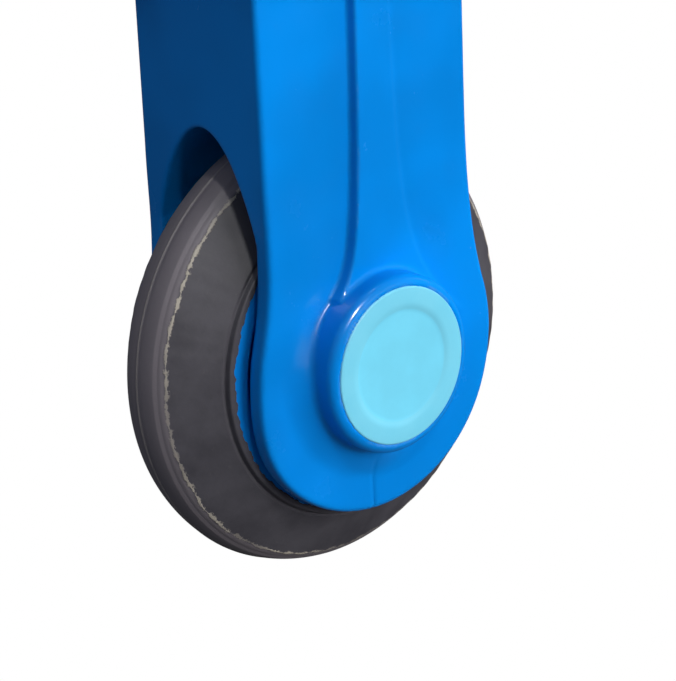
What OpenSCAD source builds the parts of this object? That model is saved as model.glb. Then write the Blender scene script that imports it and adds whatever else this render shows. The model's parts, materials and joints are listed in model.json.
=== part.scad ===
// Folding platform cart: a moulded deck on two fixed wheel legs and two swivel casters, with a push handle that
// folds flat over the deck. Millimetres, +Z up. The front is at -X, the handle stands at +X, and left is -Y.
// The origin is on the floor, under the middle of the cart.

/* [Deck] */
// Length of the cart over its edge bumper
deck_l = 740; // [730:5:780]
// Width of the cart over its edge bumper
deck_w = 480; // [476:2:520]
// Height of the deck's top skin above the floor
deck_top = 208; // [206:1:214]
// Depth of the deck's skirt
skirt_h = 40; // [36:1:44]
// Thickness of the deck's skin and skirt
skin = 4; // [3:0.5:5]
// Corner radius of the deck shell in plan
corner_r = 50; // [44:1:54]
// Spacing of the moulded ribs under the deck
rib_pitch = 50; // [45:5:60]
// Thickness of the rubber edge bumper
bumper_t = 5; // [4:0.5:6]
// Thickness of the rubber load mat
mat_t = 3; // [2:0.5:4]

/* [Wheels] */
// Diameter of each wheel over its tyre
wheel_d = 100; // [98:1:102]
// Width of the tyre at its widest
tyre_w = 27; // [25:0.5:28]
// Outer radius of the blue rim's side lips
rim_r = 36.5; // [35:0.5:37]
// Outer diameter of each wheel bearing
bearing_od = 22; // [20:1:24]
// Width of each wheel bearing
bearing_w = 7; // [6:0.5:7]
// Diameter of the axle bolts
axle_d = 8; // [7:1:8]

/* [Legs] */
// Distance from the middle of the cart forward to the fixed axle
front_x = 300; // [290:2:304]
// Distance from the middle of the cart sideways to the wheels
track_half = 205; // [200:1:206]
// Width of a leg's shank, along the cart
leg_w = 56.6; // [54:0.2:60]
// Thickness of a leg over its two flat faces
leg_t = 40; // [39:0.5:41]
// Radius of a leg's round end, about the axle
ear_r = 34.5; // [33:0.5:36]
// Radius of the curve that flares the shank into the round end
flare_r = 160; // [120:10:200]
// Width of the slot that the wheel turns in
slot_w = 31.4; // [31:0.2:32]
// Height of the slot's arched top above the axle
arch_top = 54; // [53:0.5:56]
// Radius of the round boss about the axle
boss_r = 20.5; // [20:0.5:22]
// Radius of the cap in the boss
cap_r = 17.9; // [17:0.1:18]

/* [Casters] */
// Distance from the middle of the cart back to the swivel axis
swivel_x = 270; // [260:2:276]
// Distance that a caster's wheel trails behind its swivel axis
trail = 32; // [28:1:34]
// Height of the underside of a caster's pedestal
pedestal_z = 130; // [129:1:134]
// Radius of the swivel raceways
race_r = 28; // [26:1:29]

/* [Handle] */
// Height of the middle of the handle's top bar
handle_top = 900; // [820:10:980]
// Half of the distance between the handle's two side tubes
handle_half = 150; // [150:1:156]
// Distance from the middle of the cart back to the handle
handle_x = 322; // [318:1:324]
// Outer diameter of the handle's tube
tube_d = 25.4; // [24:0.2:26]
// Height of the handle's pivot above the deck
pivot_up = 30; // [29:1:34]
// Height of the handle's cross brace
brace_z = 560; // [450:10:640]
// Outer diameter of the foam grip
grip_d = 35; // [32:1:36]
// Radius of the star clamp knobs
knob_r = 19; // [17:1:20]

/* [Hidden] */
$fn = 64;

left = -1;
right = 1;
blue = "#0087e0";
cyan = "#7ce0fa";
rubber = "#403f45";
steel = "silver";
past = 1;                                 // how far a cutter runs past the face it cuts
seat = 0.05;                              // radial room in a fixed seat or about a turning shaft
pivot_room = 0.06;                        // radial room about the pins that parts turn on

axle_z = wheel_d / 2;
shell_l = deck_l - 2 * bumper_t;
shell_w = deck_w - 2 * bumper_t;
rib_h = 12;
rib_t = 3;
plate_t = 5;
plate_top = deck_top - skin - rib_h;
leg_top = plate_top - plate_t;            // the legs and pedestals bolt up to the chassis plates here
front_plate_l = 72;
rear_plate_l = 118;
rear_plate_x = 291;
middle_plate_l = 72;
plate_w = 2 * track_half + 38;
rail_y = 150;
rail_w = 30;
rail_h = 16;
rail_front = -340;
rail_back = 345;
bolt_r = 3;
bolt_dx = 18;                             // bolt pattern on top of each leg and pedestal
bolt_dy = 11;
bolt_l = 28;
screw_y = 75;
rear_screw_x = 252;
mat_front = -352;
mat_back = 284;
mat_side = 222;

slot_half = slot_w / 2;
ear_face = leg_t / 2;                     // flat outer face of a leg, from the middle of its wheel
boss_base_r = boss_r + 2;
boss_face = ear_face + 7;
recess_floor = ear_face - 0.3;
recess_r = 14.5;
cap_seat = boss_face - 1.6;
cap_face = boss_face + 1.3;
washer_t = 1.2;
head_h = 4.1;
hex_r = 7.5;
bearing_face = slot_half - 1.4;           // outer face of each wheel bearing
ball_pitch = 7.6;
ball_r = 1.6;
groove_r = 1.9;
balls_per_race = 7;
rib_drop = 13;                            // how fast the raised rib on a leg narrows above its boss

crown_top = 118;
crown_t = 14;
kingpin_r = 6;
kingpin_head_r = 9;
kingpin_head_h = 6.5;
swivel_ball_r = 2.7;
swivel_groove_r = 3;
swivel_pitch = 21;
swivel_ball_n = 18;
race_gap = 1.6;
race_mid = (crown_top + pedestal_z) / 2;

pivot_z = deck_top + pivot_up;
tube_r = tube_d / 2;
tube_wall = 1.5;
tube_end = 11;                            // how far the side tubes reach below their pivots
bend_r = 45;
brace_r = 9.5;
grip_half = 94;
ring_t = 6;
pivot_r = 5;
cheek_in = tube_r + 0.4;
cheek_t = 4;
bracket_base_t = 4;
bracket_base_l = 64;
bracket_base_w = 72;
cheek_l = 44;
cheek_h = 58;
bracket_dx = 20;                          // bolt pattern of the handle brackets
bracket_dy = 24;
knob_in = handle_half + cheek_in + cheek_t + 0.4;
knob_t = 14;
knob_out = knob_in + knob_t;

// ---- shared shapes ----

// A rectangle of size l by w about the origin, with round corners
module round_rect(l, w, r) {
    square([l - 2 * r, w], center = true);
    square([l, w - 2 * r], center = true);
    for (sx = [-1, 1], sy = [-1, 1]) translate([sx * (l / 2 - r), sy * (w / 2 - r)]) circle(r = r);
}

// A slab of that outline between two heights
module slab(l, w, r, low, high) {
    translate([0, 0, low]) linear_extrude(high - low) round_rect(l, w, r);
}

// A shape drawn in X and Z, made thick along Y from y0 to y1
module along_y(y0, y1) {
    translate([0, y1, 0]) rotate([90, 0, 0]) linear_extrude(y1 - y0) children();
}

// A round bar along Y
module rod_y(r, y0, y1) {
    translate([0, y1, 0]) rotate([90, 0, 0]) cylinder(r = r, h = y1 - y0);
}

// A ring along Y
module ring_y(outer, inner, y0, y1) {
    difference() {
        rod_y(outer, y0, y1);
        rod_y(inner, y0 - past, y1 + past);
    }
}

// A hexagon head along Y
module hex_y(r, y0, y1) {
    translate([0, y1, 0]) rotate([90, 0, 0]) cylinder(r = r, h = y1 - y0, $fn = 6);
}

// Children on both sides of the middle plane Y = 0 of a wheel
module both_faces() {
    children();
    mirror([0, 1, 0]) children();
}

// Children at each bolt of the pattern on top of a leg
module top_pattern() {
    for (sx = [-1, 1], sy = [-1, 1]) translate([sx * bolt_dx, sy * bolt_dy, 0]) children();
}

// A countersunk bolt with its flat head level with the top of the chassis plates
module flush_bolt() {
    translate([0, 0, leg_top - bolt_l + plate_t]) cylinder(r = bolt_r, h = bolt_l);
    translate([0, 0, plate_top - 3]) cylinder(r1 = bolt_r, r2 = bolt_r + 3, h = 3);
}

// The hole that such a bolt needs
module flush_hole(low) {
    translate([0, 0, low]) cylinder(r = bolt_r + seat, h = plate_top - low);
    translate([0, 0, plate_top - 3]) cylinder(r1 = bolt_r + seat, r2 = bolt_r + 3 + seat, h = 3);
    translate([0, 0, plate_top]) cylinder(r = bolt_r + 3 + seat, h = past);
}

// ---- places ----

module at_front(side) translate([-front_x, side * track_half, axle_z]) children();
module at_rear(side) translate([swivel_x + trail, side * track_half, axle_z]) children();
module at_swivel(side) translate([swivel_x, side * track_half, 0]) children();
module at_bracket(side) translate([handle_x, side * handle_half, 0]) children();
// Places for a thing drawn on the right, copied or mirrored to the left
module on_side(side) if (side == right) children(); else mirror([0, 1, 0]) children();

// ---- deck and chassis ----

module deck_screw_places() for (x = [-front_x, 0, rear_screw_x], y = [-screw_y, screw_y]) translate([x, y, 0]) children();
module bracket_bolt_places()
    for (side = [left, right], sx = [-1, 1], sy = [-1, 1])
        translate([handle_x + sx * bracket_dx, side * handle_half + sy * bracket_dy, 0]) children();

module deck_shell() {
    inner_l = shell_l - 2 * skin;
    inner_w = shell_w - 2 * skin;
    color(blue) difference() {
        union() {
            difference() {
                slab(shell_l, shell_w, corner_r, deck_top - skirt_h, deck_top);
                slab(inner_l, inner_w, corner_r - skin, deck_top - skirt_h - past, deck_top - skin);
            }
            intersection() {
                slab(inner_l + 1, inner_w + 1, corner_r - skin, plate_top, deck_top - skin / 2);
                union() {
                    for (x = [-7 * rib_pitch : rib_pitch : 7 * rib_pitch])
                        translate([x - rib_t / 2, -shell_w / 2, plate_top]) cube([rib_t, shell_w, rib_h + 1]);
                    for (y = [-4 * rib_pitch : rib_pitch : 4 * rib_pitch])
                        translate([-shell_l / 2, y - rib_t / 2, plate_top]) cube([shell_l, rib_t, rib_h + 1]);
                    deck_screw_places() translate([0, 0, plate_top]) cylinder(r = 6, h = rib_h + 1);
                    bracket_bolt_places() translate([0, 0, plate_top]) cylinder(r = 7, h = rib_h + 1);
                }
            }
        }
        deck_screw_places() translate([0, 0, plate_top - past]) cylinder(r = 2.4 + seat, h = rib_h);
        bracket_bolt_places() translate([0, 0, plate_top - past]) cylinder(r = bolt_r + seat, h = rib_h + skin + 2 * past);
    }
}

module load_mat() {
    color(rubber) translate([(mat_front + mat_back) / 2, 0, 0])
        slab(mat_back - mat_front, 2 * mat_side, 34, deck_top, deck_top + mat_t);
}

module edge_bumper() {
    color(rubber) difference() {
        slab(deck_l, deck_w, corner_r + bumper_t, deck_top - 28, deck_top - 10);
        slab(shell_l + 0.1, shell_w + 0.1, corner_r + 0.05, deck_top - 28 - past, deck_top - 10 + past);
    }
}

module chassis_plates() {
    color(steel) difference() {
        union() {
            translate([-front_x, 0, 0]) slab(front_plate_l, plate_w, 12, leg_top, plate_top);
            slab(middle_plate_l, 2 * rail_y + rail_w, 12, leg_top, plate_top);
            translate([rear_plate_x, 0, 0]) slab(rear_plate_l, plate_w, 30, leg_top, plate_top);
        }
        for (side = [left, right]) {
            translate([-front_x, side * track_half, 0]) top_pattern() flush_hole(leg_top - past);
            at_swivel(side) top_pattern() flush_hole(leg_top - past);
        }
        rivet_places() flush_hole(leg_top - past);
        deck_screw_places() translate([0, 0, leg_top - past]) cylinder(r = 2.4 + seat, h = plate_t + 2 * past);
        bracket_bolt_places() translate([0, 0, leg_top - past]) cylinder(r = bolt_r + seat, h = plate_t + 2 * past);
    }
}

module rivet_places() for (x = [-front_x, 0, rear_screw_x], y = [-rail_y, rail_y]) translate([x, y, 0]) children();

module chassis_rails() {
    color(steel) difference() {
        for (y = [-rail_y, rail_y]) translate([rail_front, y, leg_top - rail_h]) difference() {
            translate([0, -rail_w / 2, 0]) cube([rail_back - rail_front, rail_w, rail_h]);
            translate([-past, -rail_w / 2 + 2, 2])
                cube([rail_back - rail_front + 2 * past, rail_w - 4, rail_h - 4]);
        }
        rivet_places() translate([0, 0, leg_top - rail_h - past]) cylinder(r = bolt_r + seat, h = rail_h + 2 * past);
    }
}

module chassis_rivets() {
    low = leg_top - rail_h;
    color(steel) rivet_places() {
        translate([0, 0, low]) cylinder(r = bolt_r, h = rail_h + plate_t);
        translate([0, 0, plate_top - 3]) cylinder(r1 = bolt_r, r2 = bolt_r + 3, h = 3);
        translate([0, 0, low - 2.4]) cylinder(r1 = 3.6, r2 = 5.6, h = 2.4);
    }
}

module deck_screws() {
    color(steel) deck_screw_places() {
        translate([0, 0, leg_top - 2]) cylinder(r = 2.4, h = plate_t + rib_h);
        translate([0, 0, leg_top - 2.6]) cylinder(r1 = 4, r2 = 5.5, h = 2.6);
    }
}

// ---- legs ----

// Half width of the wheel slot's arch at a part t of its height
function arch_half(t) = slot_half * sqrt(1 - pow(t, 1.2));

// Outline of the wheel slot in Y and height above the axle, open at the bottom
module slot_outline() {
    arch_foot = 35;
    steps = 12;
    low = -ear_r - 2 * past;
    side = [for (i = [0 : steps]) [arch_half(i / steps), arch_foot + (arch_top - arch_foot) * i / steps]];
    polygon(concat([[-slot_half, low], [slot_half, low]], side, [for (i = [steps - 1 : -1 : 0]) [-side[i][0], side[i][1]]]));
}

// The slot cut right through along X
module wheel_slot() rotate([90, 0, 90]) translate([0, 0, -60]) linear_extrude(120) slot_outline();

// Outline of a fixed leg in X and height above the axle: a straight shank that flares into a round end
module leg_outline(height) {
    reach = leg_w / 2 + flare_r;
    flare_z = sqrt(pow(ear_r + flare_r, 2) - pow(reach, 2));
    touch = ear_r / (ear_r + flare_r);
    circle(r = ear_r);
    translate([-leg_w / 2, 0]) square([leg_w, height]);
    difference() {
        translate([-touch * reach, touch * flare_z]) square([2 * touch * reach, (1 - touch) * flare_z]);
        for (side = [-1, 1]) translate([side * reach, flare_z]) circle(r = flare_r, $fn = 180);
    }
}

// The round boss on the outer face of an ear
module boss() {
    translate([0, ear_face - past, 0]) rotate([-90, 0, 0]) cylinder(r = boss_base_r, h = 2 * past + 0.4);
    translate([0, ear_face + 1.4, 0]) rotate([-90, 0, 0]) cylinder(r1 = boss_base_r, r2 = boss_r, h = 2);
    rod_y(boss_r, ear_face, boss_face);
}

// What is cut from an ear and its boss for the axle bolt's head and the cap
module boss_bores() {
    rod_y(axle_d / 2 + seat, 0, boss_face);
    rod_y(recess_r, recess_floor, boss_face + past);
    rod_y(cap_r + 0.1, cap_seat, boss_face + past);
}

// The raised rib that runs up a leg's outer face and spreads about the boss
module leg_rib(height) {
    steps = 10;
    low = 10;
    top = height - 4;
    heights = [for (i = [0 : steps]) low + (top - low) * pow(i / steps, 1.6)];
    along_y(ear_face - 0.5, ear_face + 0.8)
        polygon(concat(
            [for (z = heights) [-2.6 - 30 * exp(-z / rib_drop), z]],
            [for (i = [steps : -1 : 0]) [8 + 25 * exp(-heights[i] / rib_drop), heights[i]]]));
}

module fixed_leg(side) {
    height = leg_top - axle_z;
    color(blue) at_front(side) on_side(side) difference() {
        union() {
            along_y(-ear_face, ear_face) leg_outline(height);
            both_faces() boss();
            leg_rib(height);
        }
        wheel_slot();
        both_faces() boss_bores();
        top_pattern() translate([0, 0, height - bolt_l]) cylinder(r = bolt_r + seat, h = bolt_l + past);
    }
}

module leg_bolts() color(steel) for (side = [left, right]) translate([-front_x, side * track_half, 0]) top_pattern() flush_bolt();
module pedestal_bolts() color(steel) for (side = [left, right]) at_swivel(side) top_pattern() flush_bolt();

// ---- wheels and their axles, drawn about the middle of the wheel ----

module rim() {
    hub_r = bearing_od / 2 + 4;
    lip = slot_half - 1.1;
    color(blue) difference() {
        rotate([90, 0, 0]) rotate_extrude() polygon([
            [9, -bearing_face], [hub_r, -bearing_face], [hub_r + 1, -4], [29, -3], [30.5, -lip], [rim_r, -lip],
            [rim_r, -12.6], [34, -12.6], [34, 12.6], [rim_r, 12.6], [rim_r, lip], [30.5, lip], [29, 3],
            [hub_r + 1, 4], [hub_r, bearing_face], [9, bearing_face]
        ]);
        both_faces() rod_y(bearing_od / 2 + seat, bearing_face - bearing_w, bearing_face + past);
    }
}

module tyre() {
    half = tyre_w / 2;
    r = wheel_d / 2;
    crown = 8;
    drop = 1.6;
    steps = 5;
    arc = [for (i = [-steps : steps]) [r - drop * pow(i / steps, 2), crown * i / steps]];
    color(rubber) rotate([90, 0, 0]) rotate_extrude() polygon(concat(
        [[34.05, -12.4], [rim_r + 0.3, -12.4], [rim_r + 0.8, -half + 0.2], [rim_r + 2, -half]],
        arc,
        [[rim_r + 2, half], [rim_r + 0.8, half - 0.2], [rim_r + 0.3, 12.4], [34.05, 12.4]]));
}

// The groove that a row of balls runs in
module ball_groove() rotate([90, 0, 0]) rotate_extrude() translate([ball_pitch, 0]) circle(r = groove_r);

module bearing_middle() translate([0, bearing_face - bearing_w / 2, 0]) children();

module outer_races() {
    color(steel) both_faces() bearing_middle() difference() {
        ring_y(bearing_od / 2, ball_pitch + 1.05, -bearing_w / 2, bearing_w / 2);
        ball_groove();
    }
}

module inner_races() {
    color(steel) both_faces() bearing_middle() difference() {
        ring_y(ball_pitch - 1.05, axle_d / 2 + seat, -bearing_w / 2, bearing_w / 2);
        ball_groove();
    }
}

module bearing_balls() {
    color(steel) both_faces() bearing_middle()
        for (i = [0 : balls_per_race - 1]) rotate([0, i * 360 / balls_per_race, 0])
            translate([ball_pitch, 0, 0]) sphere(r = ball_r);
}

module axle_bolt() {
    rod_y(axle_d / 2, -recess_floor - washer_t - head_h, recess_floor + washer_t + 0.1);
    hex_y(hex_r, recess_floor + washer_t, recess_floor + washer_t + head_h);
}

module axle_nut() {
    difference() {
        hex_y(hex_r, -recess_floor - washer_t - head_h + 0.5, -recess_floor - washer_t);
        rod_y(axle_d / 2 + seat, -boss_face, 0);
    }
}

module axle_spacers() {
    hole = axle_d / 2 + seat;
    both_faces() ring_y(8.5, hole, recess_floor, recess_floor + washer_t);
    both_faces() ring_y(6.2, hole, bearing_face, slot_half);
    ring_y(5.6, hole, bearing_w - bearing_face, bearing_face - bearing_w);
}

module hub_caps() {
    color(cyan) both_faces() difference() {
        union() {
            rod_y(cap_r, cap_seat, cap_face - 0.8);
            translate([0, cap_face - 0.8, 0]) rotate([-90, 0, 0]) cylinder(r1 = cap_r, r2 = cap_r - 0.8, h = 0.8);
            ring_y(recess_r - 0.1, recess_r - 2, cap_seat - 3, cap_seat);
        }
        rod_y(11.9, cap_face - 0.6, cap_face + past);
    }
}

module front_axles() for (side = [left, right]) at_front(side) on_side(side) children();

module front_axle_bolts() color(steel) front_axles() axle_bolt();
module front_axle_nuts() color(steel) front_axles() axle_nut();
module front_axle_spacers() color(steel) front_axles() axle_spacers();
module front_inner_races() front_axles() inner_races();
module front_hub_caps() front_axles() hub_caps();

module axle_set(side) color(steel) at_rear(side) on_side(side) {
    axle_bolt();
    axle_nut();
    axle_spacers();
}

// ---- swivel casters ----

module caster_pedestals() {
    color(blue) for (side = [left, right]) at_swivel(side) difference() {
        union() {
            slab(leg_w, leg_t, 3, pedestal_z, leg_top);
            translate([0, 0, pedestal_z]) cylinder(r = race_r, h = 5);
            translate([0, 0, pedestal_z + 5]) cylinder(r1 = race_r, r2 = leg_t / 2, h = 12);
        }
        top_pattern() translate([0, 0, leg_top - bolt_l + plate_t]) cylinder(r = bolt_r + seat, h = bolt_l);
        translate([0, 0, pedestal_z - past]) cylinder(r = kingpin_r + seat, h = 34 + past);
    }
}

module kingpins() {
    head_top = crown_top - crown_t - 0.3;
    color(steel) for (side = [left, right]) at_swivel(side) {
        translate([0, 0, head_top - kingpin_head_h]) cylinder(r = kingpin_head_r, h = kingpin_head_h);
        translate([0, 0, head_top - past]) cylinder(r = kingpin_r, h = pedestal_z + 33 - head_top + past);
    }
}

// A raceway of the swivel between two heights, with the groove that its balls run in
module raceway(low, high) {
    color(steel) difference() {
        translate([0, 0, low]) cylinder(r = race_r, h = high - low);
        translate([0, 0, low - past]) cylinder(r = 10, h = high - low + 2 * past);
        translate([0, 0, race_mid]) rotate_extrude() translate([swivel_pitch, 0]) circle(r = swivel_groove_r);
    }
}

module upper_raceways() for (side = [left, right]) at_swivel(side) raceway(race_mid + race_gap / 2, pedestal_z);
module lower_raceway(side) at_swivel(side) raceway(crown_top, race_mid - race_gap / 2);

module swivel_balls(side) {
    color(steel) at_swivel(side) for (i = [0 : swivel_ball_n - 1]) rotate([0, 0, i * 360 / swivel_ball_n])
        translate([swivel_pitch, 0, race_mid]) sphere(r = swivel_ball_r);
}

// Outline of a fork in X and height above the axle: its crown leans forward to the swivel axis
module fork_outline() {
    crown = crown_top - axle_z;
    hull() {
        circle(r = ear_r);
        translate([-trail - race_r + 4, crown - crown_t + 4]) circle(r = 4);
        translate([-trail - race_r, crown - 2]) square([2 * race_r + 20, 2]);
    }
}

module fork(side) {
    crown = crown_top - axle_z;
    color(blue) at_rear(side) on_side(side) difference() {
        union() {
            along_y(-ear_face, ear_face) fork_outline();
            translate([-trail, 0, crown - crown_t]) cylinder(r = race_r, h = crown_t);
            both_faces() boss();
        }
        wheel_slot();
        both_faces() boss_bores();
        translate([-trail, 0, 0]) {
            cylinder(r = kingpin_r + pivot_room, h = crown + past);
            cylinder(r = kingpin_head_r + 0.5, h = crown - crown_t);
        }
    }
}

// ---- handle ----

module handle_brackets() {
    color(steel) for (side = [left, right]) at_bracket(side) difference() {
        union() {
            slab(bracket_base_l, bracket_base_w, 8, deck_top, deck_top + bracket_base_t);
            for (flip = [0, 1]) mirror([0, flip, 0]) along_y(cheek_in, cheek_in + cheek_t) cheek_outline();
            translate([tube_r + 0.5, -cheek_in - past, pivot_z + 15])
                cube([4, 2 * (cheek_in + past), deck_top + bracket_base_t + cheek_h - 6 - pivot_z - 15]);
        }
        translate([0, 0, pivot_z]) rod_y(pivot_r + pivot_room, -bracket_base_w, bracket_base_w);
        for (sx = [-1, 1], sy = [-1, 1]) translate([sx * bracket_dx, sy * bracket_dy, deck_top - past])
            cylinder(r = bolt_r + seat, h = bracket_base_t + 2 * past);
    }
}

// Outline of a bracket's cheek in X and Z, with round top corners
module cheek_outline() {
    low = deck_top + bracket_base_t - past;
    r = 9;
    translate([-cheek_l / 2, low]) square([cheek_l, cheek_h - r + past]);
    translate([-cheek_l / 2 + r, low]) square([cheek_l - 2 * r, cheek_h + past]);
    for (sx = [-1, 1]) translate([sx * (cheek_l / 2 - r), low + past + cheek_h - r]) circle(r = r);
}

module bracket_bolts() {
    top = deck_top + bracket_base_t;
    nut_low = leg_top - 5;
    color(steel) bracket_bolt_places() {
        translate([0, 0, nut_low - 1.5]) cylinder(r = bolt_r, h = top - nut_low + 1.5 + past);
        translate([0, 0, top]) cylinder(r1 = 5.4, r2 = 3.6, h = 3);
        difference() {
            translate([0, 0, nut_low]) cylinder(r = 5.7, h = leg_top - nut_low, $fn = 6);
            translate([0, 0, nut_low - past]) cylinder(r = bolt_r + seat, h = leg_top - nut_low + 2 * past);
        }
    }
}

module pivot_bolts() {
    inboard = handle_half - cheek_in - cheek_t;
    color(steel) for (side = [left, right]) on_side(side) translate([handle_x, 0, pivot_z]) {
        rod_y(pivot_r, inboard - past, knob_out - 2);
        hex_y(9.8, inboard - 6.4, inboard);
    }
}

// Section of the handle's tube
module tube_section() difference() {
    circle(r = tube_r);
    circle(r = tube_r - tube_wall);
}

module handle_tube() {
    color("#2b2e33") translate([handle_x, 0, 0]) difference() {
        union() {
            for (side = [left, right]) {
                translate([0, side * handle_half, pivot_z - tube_end])
                    linear_extrude(handle_top - bend_r - pivot_z + tube_end) tube_section();
                translate([0, side * (handle_half - bend_r), handle_top - bend_r]) rotate([90, 0, 90])
                    rotate([0, 0, side == right ? 0 : 90]) rotate_extrude(angle = 90)
                        translate([bend_r, 0]) tube_section();
            }
            translate([0, handle_half - bend_r, handle_top]) rotate([90, 0, 0])
                linear_extrude(2 * (handle_half - bend_r)) tube_section();
        }
        translate([0, 0, pivot_z]) rod_y(pivot_r + pivot_room, -2 * handle_half, 2 * handle_half);
    }
}

module handle_end_plugs() {
    color(rubber) for (side = [left, right]) at_bracket(side) difference() {
        union() {
            translate([0, 0, pivot_z - tube_end]) cylinder(r = tube_r - tube_wall - seat, h = 40);
            translate([0, 0, pivot_z - tube_end - 1.5]) cylinder(r1 = tube_r - 1.5, r2 = tube_r, h = 1.5);
        }
        translate([0, 0, pivot_z]) rod_y(pivot_r + pivot_room, -tube_d, tube_d);
    }
}

module handle_brace() {
    color("#2b2e33") difference() {
        translate([handle_x, 0, brace_z]) ring_y(brace_r, brace_r - tube_wall, -handle_half, handle_half);
        for (side = [left, right]) translate([handle_x, side * handle_half, brace_z - tube_d])
            cylinder(r = tube_r + seat, h = 2 * tube_d);
    }
}

module handle_grip() color(rubber) translate([handle_x, 0, handle_top]) ring_y(grip_d / 2, tube_r + seat, -grip_half, grip_half);

module grip_end_rings() {
    color(cyan) translate([handle_x, 0, handle_top]) both_faces()
        ring_y(grip_d / 2 + 0.5, tube_r + seat, grip_half, grip_half + ring_t);
}

module clamp_knob(side) {
    lobes = 6;
    color(cyan) on_side(side) translate([handle_x, 0, pivot_z]) difference() {
        along_y(knob_in, knob_out) {
            circle(r = knob_r - 4);
            for (i = [0 : lobes - 1]) rotate(i * 360 / lobes) translate([knob_r - 5, 0]) circle(r = 5);
        }
        rod_y(pivot_r + pivot_room, knob_in - past, knob_out - 1.5);
        rod_y(8.6, knob_in - past, knob_in + 10);
    }
}

module knob_insert(side) {
    color("#c9a24a") on_side(side) translate([handle_x, 0, pivot_z])
        ring_y(8.5, pivot_r + pivot_room, knob_in, knob_in + 10 - seat);
}

// ---- the nodes ----

deck_shell();
load_mat();
edge_bumper();
chassis_plates();
chassis_rails();
chassis_rivets();
deck_screws();
fixed_leg(left);  // front_left_leg
fixed_leg(right);  // front_right_leg
leg_bolts();
front_axle_bolts();
front_axle_nuts();
front_axle_spacers();
front_inner_races();
front_hub_caps();
caster_pedestals();
pedestal_bolts();
kingpins();
upper_raceways();
handle_brackets();
bracket_bolts();
pivot_bolts();
at_front(left) rim();  // front_left_rim
at_front(left) tyre();  // front_left_tyre
at_front(left) outer_races();  // front_left_outer_races
at_front(left) bearing_balls();  // front_left_bearing_balls
at_front(right) rim();  // front_right_rim
at_front(right) tyre();  // front_right_tyre
at_front(right) outer_races();  // front_right_outer_races
at_front(right) bearing_balls();  // front_right_bearing_balls
at_rear(left) rim();  // rear_left_rim
at_rear(left) tyre();  // rear_left_tyre
at_rear(left) outer_races();  // rear_left_outer_races
at_rear(left) bearing_balls();  // rear_left_bearing_balls
at_rear(right) rim();  // rear_right_rim
at_rear(right) tyre();  // rear_right_tyre
at_rear(right) outer_races();  // rear_right_outer_races
at_rear(right) bearing_balls();  // rear_right_bearing_balls
fork(left);  // left_fork
lower_raceway(left);  // left_lower_raceway
swivel_balls(left);  // left_swivel_balls
axle_set(left);  // left_axle_set
at_rear(left) inner_races();  // left_inner_races
at_rear(left) hub_caps();  // left_hub_caps
fork(right);  // right_fork
lower_raceway(right);  // right_lower_raceway
swivel_balls(right);  // right_swivel_balls
axle_set(right);  // right_axle_set
at_rear(right) inner_races();  // right_inner_races
at_rear(right) hub_caps();  // right_hub_caps
handle_tube();
handle_brace();
handle_grip();
grip_end_rings();
handle_end_plugs();
clamp_knob(left);  // left_clamp_knob
knob_insert(left);  // left_knob_insert
clamp_knob(right);  // right_clamp_knob
knob_insert(right);  // right_knob_insert
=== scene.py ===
"""Looks of the folding platform cart: its moulded legs, forks and wheels, deck, mat, handle and hardware.

Lengths in the shape functions are millimetres, from a piece's own place or from the frame's origin.
Blender's objects are in metres.
"""

import json
import math

import bpy
import numpy as np
from mathutils import Matrix, Vector


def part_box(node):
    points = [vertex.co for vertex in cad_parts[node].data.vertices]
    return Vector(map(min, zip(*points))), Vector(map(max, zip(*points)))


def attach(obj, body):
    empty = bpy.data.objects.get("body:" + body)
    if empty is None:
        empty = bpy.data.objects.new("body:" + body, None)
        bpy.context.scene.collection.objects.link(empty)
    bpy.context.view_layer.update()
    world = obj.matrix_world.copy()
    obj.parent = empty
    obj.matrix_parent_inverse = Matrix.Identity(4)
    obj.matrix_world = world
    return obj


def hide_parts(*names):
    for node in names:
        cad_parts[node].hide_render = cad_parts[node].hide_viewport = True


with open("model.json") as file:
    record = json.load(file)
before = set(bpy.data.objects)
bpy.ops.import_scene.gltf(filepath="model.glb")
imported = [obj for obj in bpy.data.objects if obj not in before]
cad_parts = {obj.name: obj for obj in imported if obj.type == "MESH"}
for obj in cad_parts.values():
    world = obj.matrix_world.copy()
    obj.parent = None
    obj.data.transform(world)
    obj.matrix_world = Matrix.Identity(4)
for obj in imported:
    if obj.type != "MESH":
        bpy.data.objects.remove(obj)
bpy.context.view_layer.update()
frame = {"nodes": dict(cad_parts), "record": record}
NODES = frame["nodes"]
SLOTS = {part["node"]: part["material_slot"] for part in frame["record"]["subparts"]}
MM = 0.001
SIDES = {"left": -1, "right": 1}

# ---- sizes of the moulded parts, in mm from the axle ----
# They are the CAD model's, but the boss, cap, tread and rim's lip stand a little differently.

LEG_HALF = 28.3
LEG_THICK = 20.0
EAR = 34.5
FLARE = 160.0
SLOT = 15.7
ARCH_FOOT = 35.0
ARCH_TOP = 54.0
MOUTH_DROP = 4.0
BOSS = 19.7
BOSS_FACE = 28.1
RECESS = 14.5
RECESS_FLOOR = 19.7
CAP = 17.4
CAP_SEAT = 25.4
CAP_FACE = 28.3
INSET = 12.1
AXLE_HOLE = 4.05
CROWN = 49.8
SHOULDER = 6.1
RIM_EDGE = 35.2
RIM_LIP = 14.1
TYRE_SEAT = 12.3
TRAIL = 32.0
CROWN_TOP = 68.0
CROWN_LOW = 54.0
RACE = 28.0
KINGPIN_HOLE = 6.06
KINGPIN_HEAD = 9.5


def middle(node):
    """Middle of a CAD node's box, in metres."""
    low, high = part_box(node)
    return (low + high) / 2


def span(node):
    """Low and high corners of a CAD node's box, in mm."""
    low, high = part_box(node)
    return low / MM, high / MM


def srgb(*channels):
    """Linear colour from 0 to 255 display values."""
    unit = [c / 255 for c in channels]
    return tuple(c / 12.92 if c <= 0.04045 else ((c + 0.055) / 1.055) ** 2.4 for c in unit)


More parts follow.
